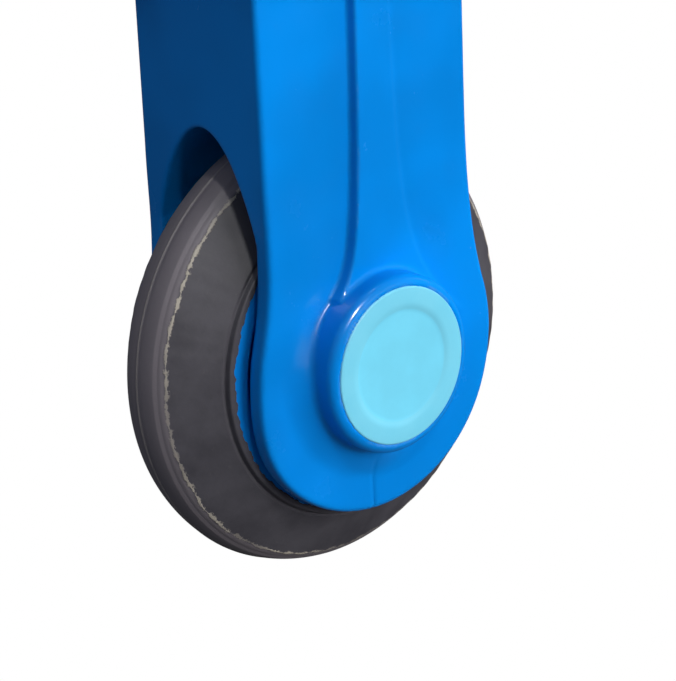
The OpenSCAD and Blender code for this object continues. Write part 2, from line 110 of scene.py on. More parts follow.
def tint(colour, factor, lift=0):
    """A colour made lighter or darker by a factor, with the same lift added to each channel."""
    return tuple(factor * c + lift for c in colour)


# ---- materials ----


class Nodes:
    """Short ways to add and join the nodes of one tree."""

    def __init__(self, owner):
        owner.use_nodes = True
        self.tree = owner.node_tree

    def fill(self, node, sockets):
        """Sets a node's sockets to numbers, lists or RGB tuples, or links them to other nodes' outputs."""
        for key, value in sockets.items():
            if isinstance(value, bpy.types.NodeSocket):
                self.tree.links.new(value, node.inputs[key])
            else:
                node.inputs[key].default_value = (*value, 1) if isinstance(value, tuple) else value

    def add(self, kind, sockets=None, **settings):
        """A new node with its settings made, and then its sockets filled."""
        node = self.tree.nodes.new(kind)
        for key, value in settings.items():
            setattr(node, key, value)
        self.fill(node, sockets or {})
        return node


class Paint(Nodes):
    """A node-built material, with a method for each step that the recipes below share."""

    def __init__(self, name, rough=0.5, metal=0.0, specular=0.5):
        self.material = bpy.data.materials.new(name)
        super().__init__(self.material)
        self.shader = self.tree.nodes["Principled BSDF"]
        self.fill(self.shader, {"Roughness": rough, "Metallic": metal, "Specular IOR Level": specular})
        self.place = self.add("ShaderNodeTexCoord").outputs["Object"]
        self.height = None

    def stretch(self, *factors):
        """The place on the object, scaled by three factors to draw noise out."""
        sockets = {0: self.place, 1: list(factors)}
        return self.add("ShaderNodeVectorMath", sockets, operation="MULTIPLY").outputs[0]

    def noise(self, size_mm, detail=3.0, rough=0.5, source=None):
        """Noise whose blotches are about size_mm across, from 0 to 1."""
        sockets = {"Scale": 1000 / size_mm, "Detail": detail, "Roughness": rough}
        sockets["Vector"] = source or self.place
        return self.add("ShaderNodeTexNoise", sockets).outputs["Fac"]

    def cells(self, size_mm):
        sockets = {"Vector": self.place, "Scale": 1000 / size_mm}
        return self.add("ShaderNodeTexVoronoi", sockets).outputs["Distance"]

    def math(self, operation, a, b=0.0):
        return self.add("ShaderNodeMath", {0: a, 1: b}, operation=operation).outputs[0]

    def times(self, a, b):
        return self.math("MULTIPLY", a, b)

    def spread(self, value, low, high, to_low=0.0, to_high=1.0):
        """Maps low..high to to_low..to_high with soft ends."""
        sockets = {"Value": value, "From Min": low, "From Max": high, "To Min": to_low, "To Max": to_high}
        return self.add("ShaderNodeMapRange", sockets, interpolation_type="SMOOTHSTEP").outputs["Result"]

    def mix(self, factor, a, b):
        sockets = {"Factor": factor, "A": a, "B": b}
        return self.add("ShaderNodeMix", sockets, data_type="RGBA").outputs["Result"]

    def edges(self, low, high):
        """1 on sharp outer edges, 0 elsewhere."""
        return self.spread(self.add("ShaderNodeNewGeometry").outputs["Pointiness"], low, high)

    def colour(self, value):
        self.fill(self.shader, {"Base Color": value})

    def roughness(self, value):
        self.fill(self.shader, {"Roughness": value})

    def bump(self, height, depth_mm, strength):
        """Adds a height from 0 to 1, depth_mm deep, on top of earlier bumps."""
        node = self.add("ShaderNodeBump", {"Distance": depth_mm * MM, "Strength": strength, "Height": height})
        if self.height:
            self.fill(node, {"Normal": self.height})
        self.height = node.outputs["Normal"]
        self.fill(self.shader, {"Normal": self.height})


def moulded_blue(name, base, rough, grain_mm, grain_depth):
    """Glossy moulded plastic: faint colour drift, soft surface waves, fine grain, a few pale nicks."""
    paint = Paint(name, specular=0.22)
    drift = paint.noise(38, detail=2)
    streak = paint.noise(16, detail=4, source=paint.stretch(1, 1, 0.25))
    dark = tint(base, 0.9)
    body = paint.mix(paint.spread(drift, 0.35, 0.65), dark, tint(base, 1.1))
    body = paint.mix(paint.spread(streak, 0.62, 0.8, 0, 0.25), body, dark)
    nicked = paint.spread(paint.noise(30, detail=1), 0.56, 0.62, 0, 0.6)
    nick = paint.times(paint.spread(paint.cells(9), 0.055, 0.03), nicked)
    worn = paint.times(paint.edges(0.53, 0.6), paint.spread(paint.noise(5), 0.45, 0.65, 0, 0.35))
    paint.colour(paint.mix(paint.math("MAXIMUM", worn, nick), body, tint(base, 0.55, 0.25)))
    smear = paint.noise(11, detail=5, rough=0.6)
    paint.roughness(paint.spread(smear, 0.3, 0.75, rough - 0.05, rough + 0.09))
    paint.bump(paint.noise(9, detail=2), 0.05, 0.5)
    paint.bump(paint.noise(grain_mm, detail=3), grain_depth, 0.6)
    return paint.material


def cap_plastic(name, base, inset):
    """Satin light plastic, cloudy and finely grained, with its own colour in the caps' inset discs."""
    paint = Paint(name, rough=0.42, specular=0.35)
    cloud = paint.noise(7, detail=3)
    disc = paint.add("ShaderNodeAttribute", attribute_name="inset").outputs["Fac"]
    body = paint.mix(disc, base, inset)
    paint.colour(paint.mix(paint.spread(cloud, 0.3, 0.7, 0, 0.5), body, tint(inset, 0.9)))
    paint.roughness(paint.spread(paint.noise(4, detail=4), 0.3, 0.7, 0.4, 0.54))
    paint.bump(paint.noise(1.1, detail=3), 0.012, 0.6)
    return paint.material


def tyre_rubber(name):
    """Matt grey rubber: mottled, with a scratched tread painted paler, partly as painted light on the tread,
    and a broken cream flash line beside it.
    """
    paint = Paint(name, rough=0.62, specular=0.25)
    x, y, z = paint.add("ShaderNodeSeparateXYZ", {0: paint.place}).outputs
    across = paint.math("ABSOLUTE", y)
    radius = paint.math("SQRT", paint.math("ADD", paint.times(x, x), paint.times(z, z)))
    mottle = paint.noise(13, detail=6, rough=0.65)
    base = paint.mix(paint.spread(mottle, 0.3, 0.7), srgb(64, 62, 68), srgb(78, 76, 82))
    tread = paint.spread(across, (SHOULDER + 0.5) * MM, (SHOULDER - 0.3) * MM)
    # The tread is painted paler: in part this is painted light, standing in for the light that falls on the
    # tread
    base = paint.mix(paint.times(tread, 0.8), base, srgb(128, 121, 126))
    scratch = paint.noise(3.2, detail=5, rough=0.7, source=paint.stretch(1, 2.6, 1))
    marks = paint.times(paint.spread(scratch, 0.6, 0.78), paint.spread(tread, 0, 1, 0.10, 0.35))
    base = paint.mix(marks, base, srgb(138, 132, 128))
    # The flash line wanders a little, and is thick in some stretches and almost gone in others
    wander = paint.spread(paint.noise(5, detail=3), 0.3, 0.7, -0.00012, 0.00012)
    line_place = paint.math("ADD", wander, (SHOULDER + 0.2) * MM)
    offset = paint.math("ABSOLUTE", paint.math("SUBTRACT", across, line_place))
    thick = paint.spread(paint.noise(2.2, detail=4, rough=0.75), 0.38, 0.66, 0.00002, 0.00056)
    bright = paint.spread(paint.noise(24, detail=1), 0.40, 0.58, 0.35, 1.0)
    line = paint.times(paint.spread(offset, thick, paint.times(thick, 0.3)), bright)
    base = paint.mix(paint.times(line, 0.75), base, srgb(196, 187, 170))
    ridge = paint.times(paint.spread(across, 0.00030, 0.00012, 0, 0.55), paint.spread(radius, 0.0485, 0.0495))
    paint.colour(paint.mix(ridge, base, srgb(150, 144, 138)))
    paint.roughness(paint.spread(mottle, 0.3, 0.7, 0.55, 0.72))
    paint.bump(paint.noise(1.4, detail=5, rough=0.6), 0.06, 0.7)
    paint.bump(line, 0.25, 0.6)
    return paint.material


def plain_rubber(name, base, rough, grain_mm=0.9):
    """Dark rubber or plastic: dusty in patches, scuffed, paler on its edges."""
    paint = Paint(name, rough=rough, specular=0.3)
    dust = paint.noise(24, detail=5, rough=0.6)
    body = paint.mix(paint.spread(dust, 0.35, 0.7), base, tint(base, 1.45))
    scuff = paint.noise(2.6, detail=4, rough=0.7, source=paint.stretch(0.35, 1, 1))
    body = paint.mix(paint.spread(scuff, 0.64, 0.8, 0, 0.3), body, tint(base, 2.6, 0.01))
    worn = paint.times(paint.edges(0.52, 0.6), 0.4)
    paint.colour(paint.mix(worn, body, tint(base, 2.2, 0.01)))
    paint.roughness(paint.spread(dust, 0.3, 0.7, rough - 0.07, rough + 0.1))
    paint.bump(paint.noise(grain_mm, detail=4), 0.06, 0.8)
    return paint.material


def foam(name):
    """Closed-cell foam: fine open pores in a matt black skin, with painted shade darkening the pores'
    hollows.
    """
    paint = Paint(name, rough=0.86, specular=0.2)
    pore = paint.spread(paint.cells(1.3), 0.12, 0.5)
    dust = paint.spread(paint.noise(30, detail=3), 0.4, 0.7, 0, 0.4)
    # Painted shade: the pores' hollows are painted darker than the skin
    body = paint.mix(pore, srgb(16, 16, 17), srgb(44, 44, 46))
    paint.colour(paint.mix(dust, body, srgb(60, 59, 60)))
    paint.fill(paint.shader, {"Sheen Weight": 0.25, "Sheen Roughness": 0.5})
    paint.bump(pore, 0.22, 0.8)
    paint.bump(paint.noise(0.7, detail=3), 0.08, 0.6)
    return paint.material


def zinc_steel(name, base, rough, brush=(1, 1, 1)):
    """Zinc-plated steel: faint brushing, cloudy passivation, duller in patches."""
    paint = Paint(name, rough=rough, metal=1.0)
    cloud = paint.noise(9, detail=4, rough=0.6)
    grain = paint.noise(1.2, detail=4, source=paint.stretch(*brush))
    warm = (base[0] * 1.03, base[1] * 0.99, base[2] * 0.90)
    body = paint.mix(paint.spread(cloud, 0.35, 0.7), base, warm)
    dull = paint.spread(paint.noise(28, detail=2), 0.5, 0.7, 0, 0.35)
    paint.colour(paint.mix(dull, body, tint(base, 0.72)))
    clouded = paint.spread(cloud, 0.3, 0.7, rough - 0.08, rough + 0.1)
    paint.roughness(paint.math("ADD", clouded, paint.spread(grain, 0.3, 0.7, -0.05, 0.07)))
    paint.bump(grain, 0.02, 0.5)
    return paint.material


def powder_coat(name, base):
    """Dark powder coat on a tube: orange-peel skin, light dust, bright wear on edges."""
    paint = Paint(name, rough=0.4, specular=0.45)
    peel = paint.noise(1.5, detail=2)
    dust = paint.noise(34, detail=5, rough=0.6)
    body = paint.mix(paint.spread(dust, 0.4, 0.72), base, tint(base, 1.5))
    scratch = paint.noise(2.2, detail=3, rough=0.6, source=paint.stretch(1, 1, 0.12))
    body = paint.mix(paint.spread(scratch, 0.72, 0.82, 0, 0.4), body, srgb(110, 112, 116))
    paint.colour(paint.mix(paint.times(paint.edges(0.55, 0.64), 0.5), body, srgb(128, 130, 134)))
    paint.roughness(paint.spread(peel, 0.3, 0.7, 0.34, 0.48))
    paint.bump(peel, 0.06, 0.7)
    return paint.material


LEG_BLUE = srgb(0, 132, 222)
# The material of each slot in the CAD record
PAINTS = {
    "leg_plastic": moulded_blue("leg_plastic", LEG_BLUE, 0.20, 1.2, 0.006),
    "deck_plastic": moulded_blue("deck_plastic", LEG_BLUE, 0.36, 1.6, 0.05),
    "cap_plastic": cap_plastic("cap_plastic", srgb(120, 207, 232), srgb(116, 212, 240)),
    "tyre_rubber": tyre_rubber("tyre_rubber"),
    "mat_rubber": plain_rubber("mat_rubber", srgb(46, 46, 50), 0.66),
    "bumper_rubber": plain_rubber("bumper_rubber", srgb(40, 40, 44), 0.58, 1.3),
    "plug_plastic": plain_rubber("plug_plastic", srgb(34, 35, 38), 0.5),
    "grip_foam": foam("grip_foam"),
    "zinc_steel": zinc_steel("zinc_steel", srgb(170, 174, 178), 0.42),
    "bearing_steel": zinc_steel("bearing_steel", srgb(205, 208, 212), 0.18),
    "knob_brass": zinc_steel("knob_brass", srgb(201, 162, 74), 0.3),
    "tube_paint": powder_coat("tube_paint", srgb(44, 47, 52)),
}
RIM = moulded_blue("rim_plastic", LEG_BLUE, 0.34, 1.2, 0.012)
RAIL = zinc_steel("zinc_rail", srgb(180, 184, 188), 0.34, brush=(0.05, 1, 1))

# ---- building meshes ----


def smooth(mesh, flat_angle):
    """Smooth shading, broken where faces meet at more than flat_angle degrees, or nowhere for None."""
    mesh.shade_smooth()
    if flat_angle:
        mesh.set_sharp_from_angle(angle=math.radians(flat_angle))


def make_piece(name, shape, body, replaced, place=(0, 0, 0), flat_angle=None, material=None):
    """An object from a (points, faces) shape in mm about place (metres), in place of the CAD nodes named."""
    points, faces = shape
    slot = SLOTS[replaced[0]]
    mesh = bpy.data.meshes.new(name)
    mesh.from_pydata((np.asarray(points, float) * MM).tolist(), [], [list(map(int, f)) for f in faces])
    mesh.validate()
    mesh.materials.append(material or PAINTS[slot])
    piece = bpy.data.objects.new(name, mesh)
    bpy.context.scene.collection.objects.link(piece)
    piece.location = place
    smooth(mesh, flat_angle)
    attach(piece, body)
    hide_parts(*replaced)
    return piece


def mirrored(shape):
    """The same shape mirrored in Y, with its faces turned to stay outward."""
    return shape[0] * np.array([1, -1, 1]), [f[::-1] for f in shape[1]]


def sided(shape, side):
    """A right-hand shape as it is, or mirrored for the left."""
    return shape if side == "right" else mirrored(shape)


def moved(shape, offset):
    """The same shape moved by an offset in mm."""
    return shape[0] + np.asarray(offset, float), shape[1]


def gather(shapes):
    """One shape from many."""
    points, faces, count = [], [], 0
    for part_points, part_faces in shapes:
        points.append(np.asarray(part_points, float))
        faces += [tuple(i + count for i in f) for f in part_faces]
        count += len(part_points)
    return np.concatenate(points), faces


def upright(shape):
    """Turns a shape made about the Y axis so that it stands along Z."""
    x, y, z = shape[0].T
    return np.column_stack([x, -z, y]), shape[1]


def quads(rows, n, closed):
    """Faces between rows rings of n points each. closed joins the last ring to the first."""
    faces = []
    for k in range(rows if closed else rows - 1):
        a, b = k * n, (k + 1) % rows * n
        faces += [(a + i, a + (i + 1) % n, b + (i + 1) % n, b + i) for i in range(n)]
    return faces


def stack(rings, closed=False):
    """A shape whose skin runs over rings of points. It has a flat face at each end unless it is closed."""
    n = len(rings[0])
    faces = quads(len(rings), n, closed)
    if not closed:
        last = (len(rings) - 1) * n
        faces.append(tuple(range(n))[::-1])
        faces.append(tuple(range(last, last + n)))
    return np.concatenate(rings), faces


CORNERS = [(i, j, k) for i in (0, 1) for j in (0, 1) for k in (0, 1)]
EDGES = [
    (a, b) for a in CORNERS for b in CORNERS
    if sum(b) - sum(a) == 1 and all(q >= p for p, q in zip(a, b))
]


def surface_net(field, low, high, step):
    """A closed quad mesh of the surface where field(x, y, z) is 0, inside the box from low to high."""
    axes = [np.arange(a, b + step, step, dtype=np.float32) for a, b in zip(low, high)]
    value = field(*np.meshgrid(*axes, indexing="ij")).astype(np.float32)
    inside = value < 0
    cell_shape = tuple(n - 1 for n in value.shape)
    count = np.zeros(cell_shape, np.int8)
    for corner in CORNERS:
        count += inside[tuple(slice(start, start + size) for start, size in zip(corner, cell_shape))]
    mixed = (count > 0) & (count < 8)
    cells = np.argwhere(mixed)
    ids = np.full(cell_shape, -1, np.int64)
    ids[mixed] = np.arange(len(cells))
    total = np.zeros((len(cells), 3))
    hits = np.zeros(len(cells))
    for a, b in EDGES:
        at_a = value[tuple((cells + a).T)]
        at_b = value[tuple((cells + b).T)]
        crossed = (at_a < 0) != (at_b < 0)
        part = at_a[crossed] / (at_a[crossed] - at_b[crossed])
        total[crossed] += cells[crossed] + np.array(a) + part[:, None] * (np.array(b) - np.array(a))
        hits[crossed] += 1
    points = np.array(low) + step * total / hits[:, None]
    walls = []
    for axis in range(3):
        along, u, v = (np.eye(3, dtype=int)[(axis + k) % 3] for k in range(3))
        first = inside[tuple(slice(0, -1) if a else slice(None) for a in along)]
        second = inside[tuple(slice(1, None) if a else slice(None) for a in along)]
        for start, sign in ((first & ~second, 1), (second & ~first, -1)):
            at = np.argwhere(start)
            ring = [at - u - v, at - v, at, at - u][::sign]
            walls.append(np.stack([ids[tuple(c.T)] for c in ring], axis=1))
    return settle(field, points, step), np.concatenate(walls).tolist()


def settle(field, points, step):
    """Moves points onto the field's surface with a few Newton steps."""
    reach = 0.1 * step
    for _ in range(4):
        value = field(*points.T)
        rises = [field(*(points + reach * axis).T) - field(*(points - reach * axis).T) for axis in np.eye(3)]
        slope = np.stack(rises, axis=1) / (2 * reach)
        move = -value[:, None] * slope / np.clip((slope**2).sum(axis=1), 0.25, None)[:, None]
        points = points + np.clip(move, -0.4 * step, 0.4 * step)
    return points


def lathe(profile, turns, wobble=None):
    """A closed (radius, y) profile turned about the Y axis. wobble(angles, radius, y) may move its points."""
    profile = np.asarray(profile, float)
    angles = np.linspace(0, 2 * math.pi, turns, endpoint=False)
    radius = np.repeat(profile[None, :, 0], turns, axis=0)
    along = np.repeat(profile[None, :, 1], turns, axis=0)
    if wobble:
        radius, along = wobble(angles[:, None], radius, along)
    points = np.stack([radius * np.cos(angles)[:, None], along, radius * np.sin(angles)[:, None]], axis=2)
    return points.reshape(-1, 3), [(a, d, c, b) for a, b, c, d in quads(turns, len(profile), True)]


def rounded(corners, steps):
    """An open profile from (radius, y, fillet) corners, each rounded by a quadratic curve that long."""
    out = []
    for i, (r, y, fillet) in enumerate(corners):
        here = np.array([r, y], float)
        if fillet == 0 or i in (0, len(corners) - 1):
            out.append(tuple(here))
            continue
        before = np.array(corners[i - 1][:2], float)
        after = np.array(corners[i + 1][:2], float)
        start = here + (before - here) / np.linalg.norm(before - here) * fillet
        end = here + (after - here) / np.linalg.norm(after - here) * fillet
        for t in np.linspace(0, 1, steps + 1):
            out.append(tuple((1 - t) ** 2 * start + 2 * t * (1 - t) * here + t**2 * end))
    return out


def both_halves(right, shared=True):
    """A (radius, y) profile and its mirror image. shared means its last point is on the middle line."""
    return right + [(r, -y) for r, y in right[-2 if shared else -1 :: -1]]


def ripple(angles, seed, waves):
    """A repeatable uneven curve round a circle, about -1 to 1, with up to that many waves."""
    draw = np.random.default_rng(seed)
    total = np.zeros_like(angles)
    terms = 14
    for k in np.unique(np.linspace(1, waves, terms).astype(int)):
        size = draw.normal()
        total = total + size * np.sin(k * angles + draw.uniform(0, 2 * math.pi)) / math.sqrt(terms / 2)
    return total


# ---- distance fields, in mm ----


def positive(value):
    return np.clip(value, 0, None)


def ease(value, low, high):
    """0 below low and 1 above high, with a smooth step between."""
    t = np.clip((value - low) / (high - low), 0, 1)
    return t * t * (3 - 2 * t)


def common(*fields):
    """What is inside every field."""
    return np.max(np.broadcast_arrays(*fields), axis=0)


def join(a, b, fillet):
    """Union of two fields with a round fillet of that radius between them."""
    corner = np.hypot(positive(fillet - a), positive(fillet - b))
    return np.maximum(fillet, np.minimum(a, b)) - corner


def cut(a, b, edge):
    """Field a with field b taken away, with the new edges rounded to radius edge."""
    return -join(-a, b, edge)


def extrude(outline, depth, edge):
    """A flat outline made thick, with its edges rounded to radius edge."""
    a, b = outline + edge, depth + edge
    return np.minimum(np.maximum(a, b), 0) + np.hypot(np.maximum(a, 0), np.maximum(b, 0)) - edge


def leg_outline(x, z):
    """A straight shank that flares into a round end."""
    side = np.abs(x)
    reach = LEG_HALF + FLARE
    flare_z = math.sqrt((EAR + FLARE) ** 2 - reach**2)
    shank = side - LEG_HALF
    flare = FLARE - np.hypot(side - reach, z - flare_z)
    ear = np.hypot(x, z) - EAR
    return np.where(z > flare_z, shank, np.where(reach * z > flare_z * side, flare, ear))


def trimmed_outline(x, z):
    """The leg's outline, drawn in a little beside the axle, more so on its front edge."""
    low, behind = ease(-z, -46, -14), ease(x, 4, 20)
    front = 2.4 * low * ease(z, -24, 4) * ease(-x, 4, 20)
    back = 0.7 * low * ease(z, -30, -4) * behind
    taper = 0.022 * positive(z - 15) * behind
    return leg_outline(x - front + back - taper, z)


def wheel_slot(x, y, z):
    """The slot that the wheel turns in, with a pointed arch over it that starts lower at its two mouths."""
    foot = ARCH_FOOT - MOUTH_DROP * ease(np.abs(x), 16, LEG_HALF)
    rise = positive((z - foot) / (ARCH_TOP - foot))
    level = (y / SLOT) ** 2 + rise**1.2 - 1
    slope = np.hypot(2 * y / SLOT**2, 1.2 * rise**0.2 / (ARCH_TOP - foot))
    return np.where(z < foot, np.abs(y) - SLOT, level / np.clip(slope, 0.03, None))


def raised_rib(x, z):
    """Height of the soft rib that runs up a leg's outer face and spreads about the boss."""
    up = positive(z)
    left = np.maximum(-2.6 - 8.5 * np.exp(-up / 30) - 2.2 * np.exp((20 - up) / 5), -12)
    right = 8 + 25 * np.exp(-up / 13)
    across = np.clip((x - left) / (right - left), 0, 1)
    height = 0.4 + (1.5 + 0.9 * np.exp(-up / 45)) * (1 - across)
    height = height * ease(x, left - 0.5, left + 0.5) * ease(-x, -right - 0.8, -right + 0.8)
    return height * ease(z, 3, 9)


def bossed(body, x, y, z):
    """Adds the two bosses about the axle and cuts their bores."""
    radius = np.hypot(x, z)
    out = np.abs(y)
    body = join(body, extrude(radius - BOSS, out - BOSS_FACE, 2.3), 1.1)
    body = cut(body, np.maximum(radius - CAP + 0.25, CAP_SEAT - out), 0.1)
    body = cut(body, np.maximum(radius - RECESS, RECESS_FLOOR - out), 0.4)
    return cut(body, radius - AXLE_HOLE, 0.4)


def leg_field(x, y, z):
    """A front leg: its outer face carries the rib, a swell below and to the left of the boss, and a seam."""
    about_boss = ease(-np.hypot(x, z), -27, -19)
    swell = 2.6 * about_boss * ease(-z, -16, 2) * ease(-x, -12, 2)
    rib = (raised_rib(x, z) + swell) * (y > 0)
    seam = 0.25 * ease(-np.abs(x + 2.6), -0.7, 0) * ease(-z, 21, 24) * (y > 0)
    body = extrude(trimmed_outline(x, z), np.abs(y) - LEG_THICK - rib + seam, 1.2)
    body = bossed(body, x, y, z)
    body = cut(body, wheel_slot(x, y, z), 0.7)
    return np.maximum(body, z - LEG_TOP)


def fork_outline(x, z):
    """The round end leaning forward to a flat crown, as the hull of the two."""
    crown_front, crown_back = (-TRAIL - RACE, CROWN_LOW + 2), (RACE - 12, CROWN_TOP)
    planes = [z - CROWN_TOP, -TRAIL - RACE - x]
    touch = []
    for (px, pz), turn in ((crown_front, 1), (crown_back, -1)):
        angle = math.atan2(pz, px) + turn * math.acos(EAR / math.hypot(px, pz))
        planes.append(x * math.cos(angle) + z * math.sin(angle) - EAR)
        touch.append((EAR * math.cos(angle), EAR * math.sin(angle)))
    (ax, az), (bx, bz) = touch
    length = math.hypot(bx - ax, bz - az)
    planes.append(((bz - az) * (x - ax) - (bx - ax) * (z - az)) / length)
    hull = planes[0]
    for plane in planes[1:4]:
        hull = -join(-hull, -plane, 6)
    return np.minimum(np.hypot(x, z) - EAR, np.maximum(hull, planes[4]))


def fork_field(x, y, z):
    """A caster's fork about its axle: the leg's shape leaning forward, with a round crown."""
    lean = math.atan2(22, 61)
    rib = raised_rib(x * math.cos(lean) + z * math.sin(lean), z * math.cos(lean) - x * math.sin(lean))
    rib = rib * ease(-z, -CROWN_LOW - 6, -CROWN_LOW + 4) * (y > 0)
    body = extrude(fork_outline(x, z), np.abs(y) - LEG_THICK - rib, 3.0)
    pivot = np.hypot(x + TRAIL, y)
    from_middle = np.abs(z - (CROWN_LOW + CROWN_TOP) / 2)
    crown = extrude(pivot - RACE, from_middle - (CROWN_TOP - CROWN_LOW) / 2, 1.4)
    body = np.maximum(join(body, crown, 5), z - CROWN_TOP)
    body = bossed(body, x, y, z)
    body = cut(body, wheel_slot(x, y, z), 1.0)
    body = cut(body, np.maximum(pivot - KINGPIN_HEAD, z - CROWN_LOW), 0.6)
    return cut(body, pivot - KINGPIN_HOLE, 0.5)


def pedestal_field(x, y, z):
    """A short box-section leg, from z 0 up, that flares out to a round foot on the raceway."""
    edge, half_foot, pin_hole, pin_depth = 3, 2.5, 6.05, 34
    past_x, past_y = np.abs(x) - LEG_HALF, np.abs(y) - LEG_THICK
    corner = np.hypot(positive(past_x + edge), positive(past_y + edge)) - edge
    at_corner = (np.abs(x) > LEG_HALF - edge) & (np.abs(y) > LEG_THICK - edge)
    shank = np.where(at_corner, corner, np.maximum(past_x, past_y))
    foot = extrude(np.hypot(x, y) - RACE, np.abs(z - half_foot) - half_foot, 1.2)
    body = join(shank, foot, 8)
    body = common(body, -z, z - PEDESTAL_HEIGHT)
    return cut(body, np.maximum(np.hypot(x, y) - pin_hole, z - pin_depth), 0.4)


def knob_field(x, y, z):
    """A six-lobed star knob about the Y axis, from y 0 outward, with a dished face."""
    mean, lobe, dish_radius, dish_depth = 16.4, 2.4, 25.0, 1.0
    flange, flange_depth, stud, cover = 8.6, 10, 5.06, 1.5
    angle = np.arctan2(z, x)
    radius = np.hypot(x, z)
    # The factor makes the lobes' field about as steep as a distance
    outline = (radius - (mean + lobe * np.cos(6 * angle))) * 0.86
    body = extrude(outline, np.abs(y - KNOB_THICK / 2) - KNOB_THICK / 2, 2.4)
    dish = np.hypot(radius, y - KNOB_THICK - (dish_radius - dish_depth)) - dish_radius
    body = cut(body, dish, 1.2)
    body = cut(body, np.maximum(radius - flange, y - flange_depth), 0.4)
    return cut(body, np.maximum(radius - stud, y - KNOB_THICK + cover), 0.4)


# ---- legs, forks and pedestals ----

axle = middle("front_left_tyre")
LEG_TOP = (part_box("front_left_leg")[1].z - axle.z) / MM
pedestal_low, pedestal_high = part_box("caster_pedestals")
PEDESTAL_HEIGHT = (pedestal_high.z - pedestal_low.z) / MM
knob_low, knob_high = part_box("right_clamp_knob")
KNOB_THICK = (knob_high.y - knob_low.y) / MM

FINE = 0.6


def build_legs():
    shape = surface_net(leg_field, (-36, -30, -36), (36, 30, LEG_TOP + 2), FINE)
    for side in SIDES:
        node = f"front_{side}_leg"
        place = middle(f"front_{side}_tyre")
        make_piece(node + "_moulding", sided(shape, side), "cart", [node], place)


def build_forks():
    low, high = (-TRAIL - RACE - 2, -RACE - 2, -EAR - 2), (EAR + 2, RACE + 2, CROWN_TOP + 2)
    shape = surface_net(fork_field, low, high, FINE * 1.35)
    for side in SIDES:
        node = f"{side}_fork"
        place = middle(f"rear_{side}_tyre")
        make_piece(node + "_moulding", sided(shape, side), f"{side}_caster", [node], place)


def build_pedestals():
    shape = surface_net(pedestal_field, (-31, -31, -2), (31, 31, PEDESTAL_HEIGHT + 2), FINE * 1.6)
    pivot = middle("left_lower_raceway")
    places = [(pivot.x / MM, sign * abs(pivot.y) / MM, pedestal_low.z / MM) for sign in SIDES.values()]
    both = gather([moved(shape, place) for place in places])
    make_piece("caster_pedestal_mouldings", both, "cart", ["caster_pedestals"])


# ---- wheels ----


def tyre_profile():
    """Bead over the rim's lip, groove, broad sidewall, shoulder and a crowned tread, as (radius, y)."""
    half = [
        (RIM_EDGE - 1.45, TYRE_SEAT - 0.05, 0), (RIM_EDGE - 0.4, TYRE_SEAT - 0.05, 0),
        (RIM_EDGE - 0.4, 14.4, 0.15), (RIM_EDGE + 0.9, 14.3, 0.4), (RIM_EDGE + 1.2, 12.95, 0.3),
        (RIM_EDGE + 1.9, 13.05, 0.3), (47.4, SHOULDER, 0.4), (48.0, SHOULDER - 0.7, 0.4),
        (48.3, SHOULDER - 1.3, 0),
    ]
    crown = [(CROWN - 1.9 * (y / SHOULDER) ** 2, y) for y in np.linspace(SHOULDER - 1.7, 1.0, 9)]
    parting = [(CROWN - 0.12, 0.55), (CROWN - 0.10, 0.25), (CROWN + 0.16, 0.10), (CROWN + 0.16, 0.0)]
    return both_halves(rounded(half, 3) + crown + parting)


def tyre_wobble(angles, radius, along):
    """Uneven flash on the shoulders and a ragged bead edge, as moulding leaves them."""
    out = np.abs(along)
    sign = np.sign(along)
    ragged = 0.18 * ripple(angles, 3, 70) + 0.12 * ripple(angles + sign, 5, 160)
    bead = (out > RIM_LIP) & (radius < RIM_EDGE)
    flash = np.clip(0.06 + 0.06 * ripple(angles + sign, 8, 90), 0, 0.18)
    shoulder = (out > SHOULDER - 0.3) & (out < SHOULDER + 0.3) & (radius > 47)
    return radius + np.where(bead, ragged, 0), sign * (out + np.where(shoulder, flash, 0))


def rim_profile():
    """Hub, dished web and well, with a lip on each side of the tyre's seat."""
    bore, hub, hub_half, web_half, well = 9.0, 14.6, 14.3, 3.2, 28.6
    right = [
        (bore, hub_half, 0), (hub, hub_half, 0.5), (hub + 1, web_half + 1, 1.6), (well, web_half, 2.0),
        (well + 2, RIM_LIP, 0.8), (RIM_EDGE, RIM_LIP, 0.3), (RIM_EDGE, TYRE_SEAT, 0),
        (RIM_EDGE - 1.5, TYRE_SEAT, 0),
    ]
    return both_halves(rounded(right, 3), shared=False)


def cap_profile():
    """A snap cap from its hidden skirt out to a soft edge, a flat border and a shallow round recess."""
    skirt, floor = CAP_SEAT - 3, CAP_FACE - 0.35
    return rounded([
        (0.001, CAP_SEAT, 0), (RECESS - 2, CAP_SEAT, 0), (RECESS - 2, skirt, 0.3), (RECESS - 0.1, skirt, 0.3),
        (RECESS - 0.1, CAP_SEAT, 0.1), (CAP, CAP_SEAT, 0.1), (CAP, CAP_FACE, 0.45), (13.4, CAP_FACE, 0.7),
        (INSET, floor, 0.6), (0.6, floor, 0), (0.001, floor, 0),
    ], 5)


def build_wheels():
    turns = 480
    tyre = lathe(tyre_profile()[::-1], turns, tyre_wobble)
    rim = lathe(rim_profile()[::-1], 160)
    for wheel in ("front_left", "front_right", "rear_left", "rear_right"):
        place = middle(wheel + "_tyre")
        body = wheel + "_wheel"
        make_piece(wheel + "_tyre_rubber", tyre, body, [wheel + "_tyre"], place)
        make_piece(wheel + "_rim_moulding", rim, body, [wheel + "_rim"], place, 40, RIM)


def cap_pair(offset):
    """Both caps of one leg, about its wheel's middle moved by offset (mm)."""
    cap = lathe(cap_profile()[::-1], 128)
    return moved(gather([cap, mirrored(cap)]), offset)


def mark_insets(piece, centres):
    """Writes 1 on the points of a cap's inset disc and 0 elsewhere, for its colour."""
    mark = piece.data.attributes.new("inset", "FLOAT", "POINT")
    for point, value in zip(piece.data.vertices, mark.data):
        radius = min(math.hypot(point.co.x - c.x, point.co.z - c.z) for c in centres)
        value.value = 1.0 if radius < (INSET + 0.3) * MM else 0.0


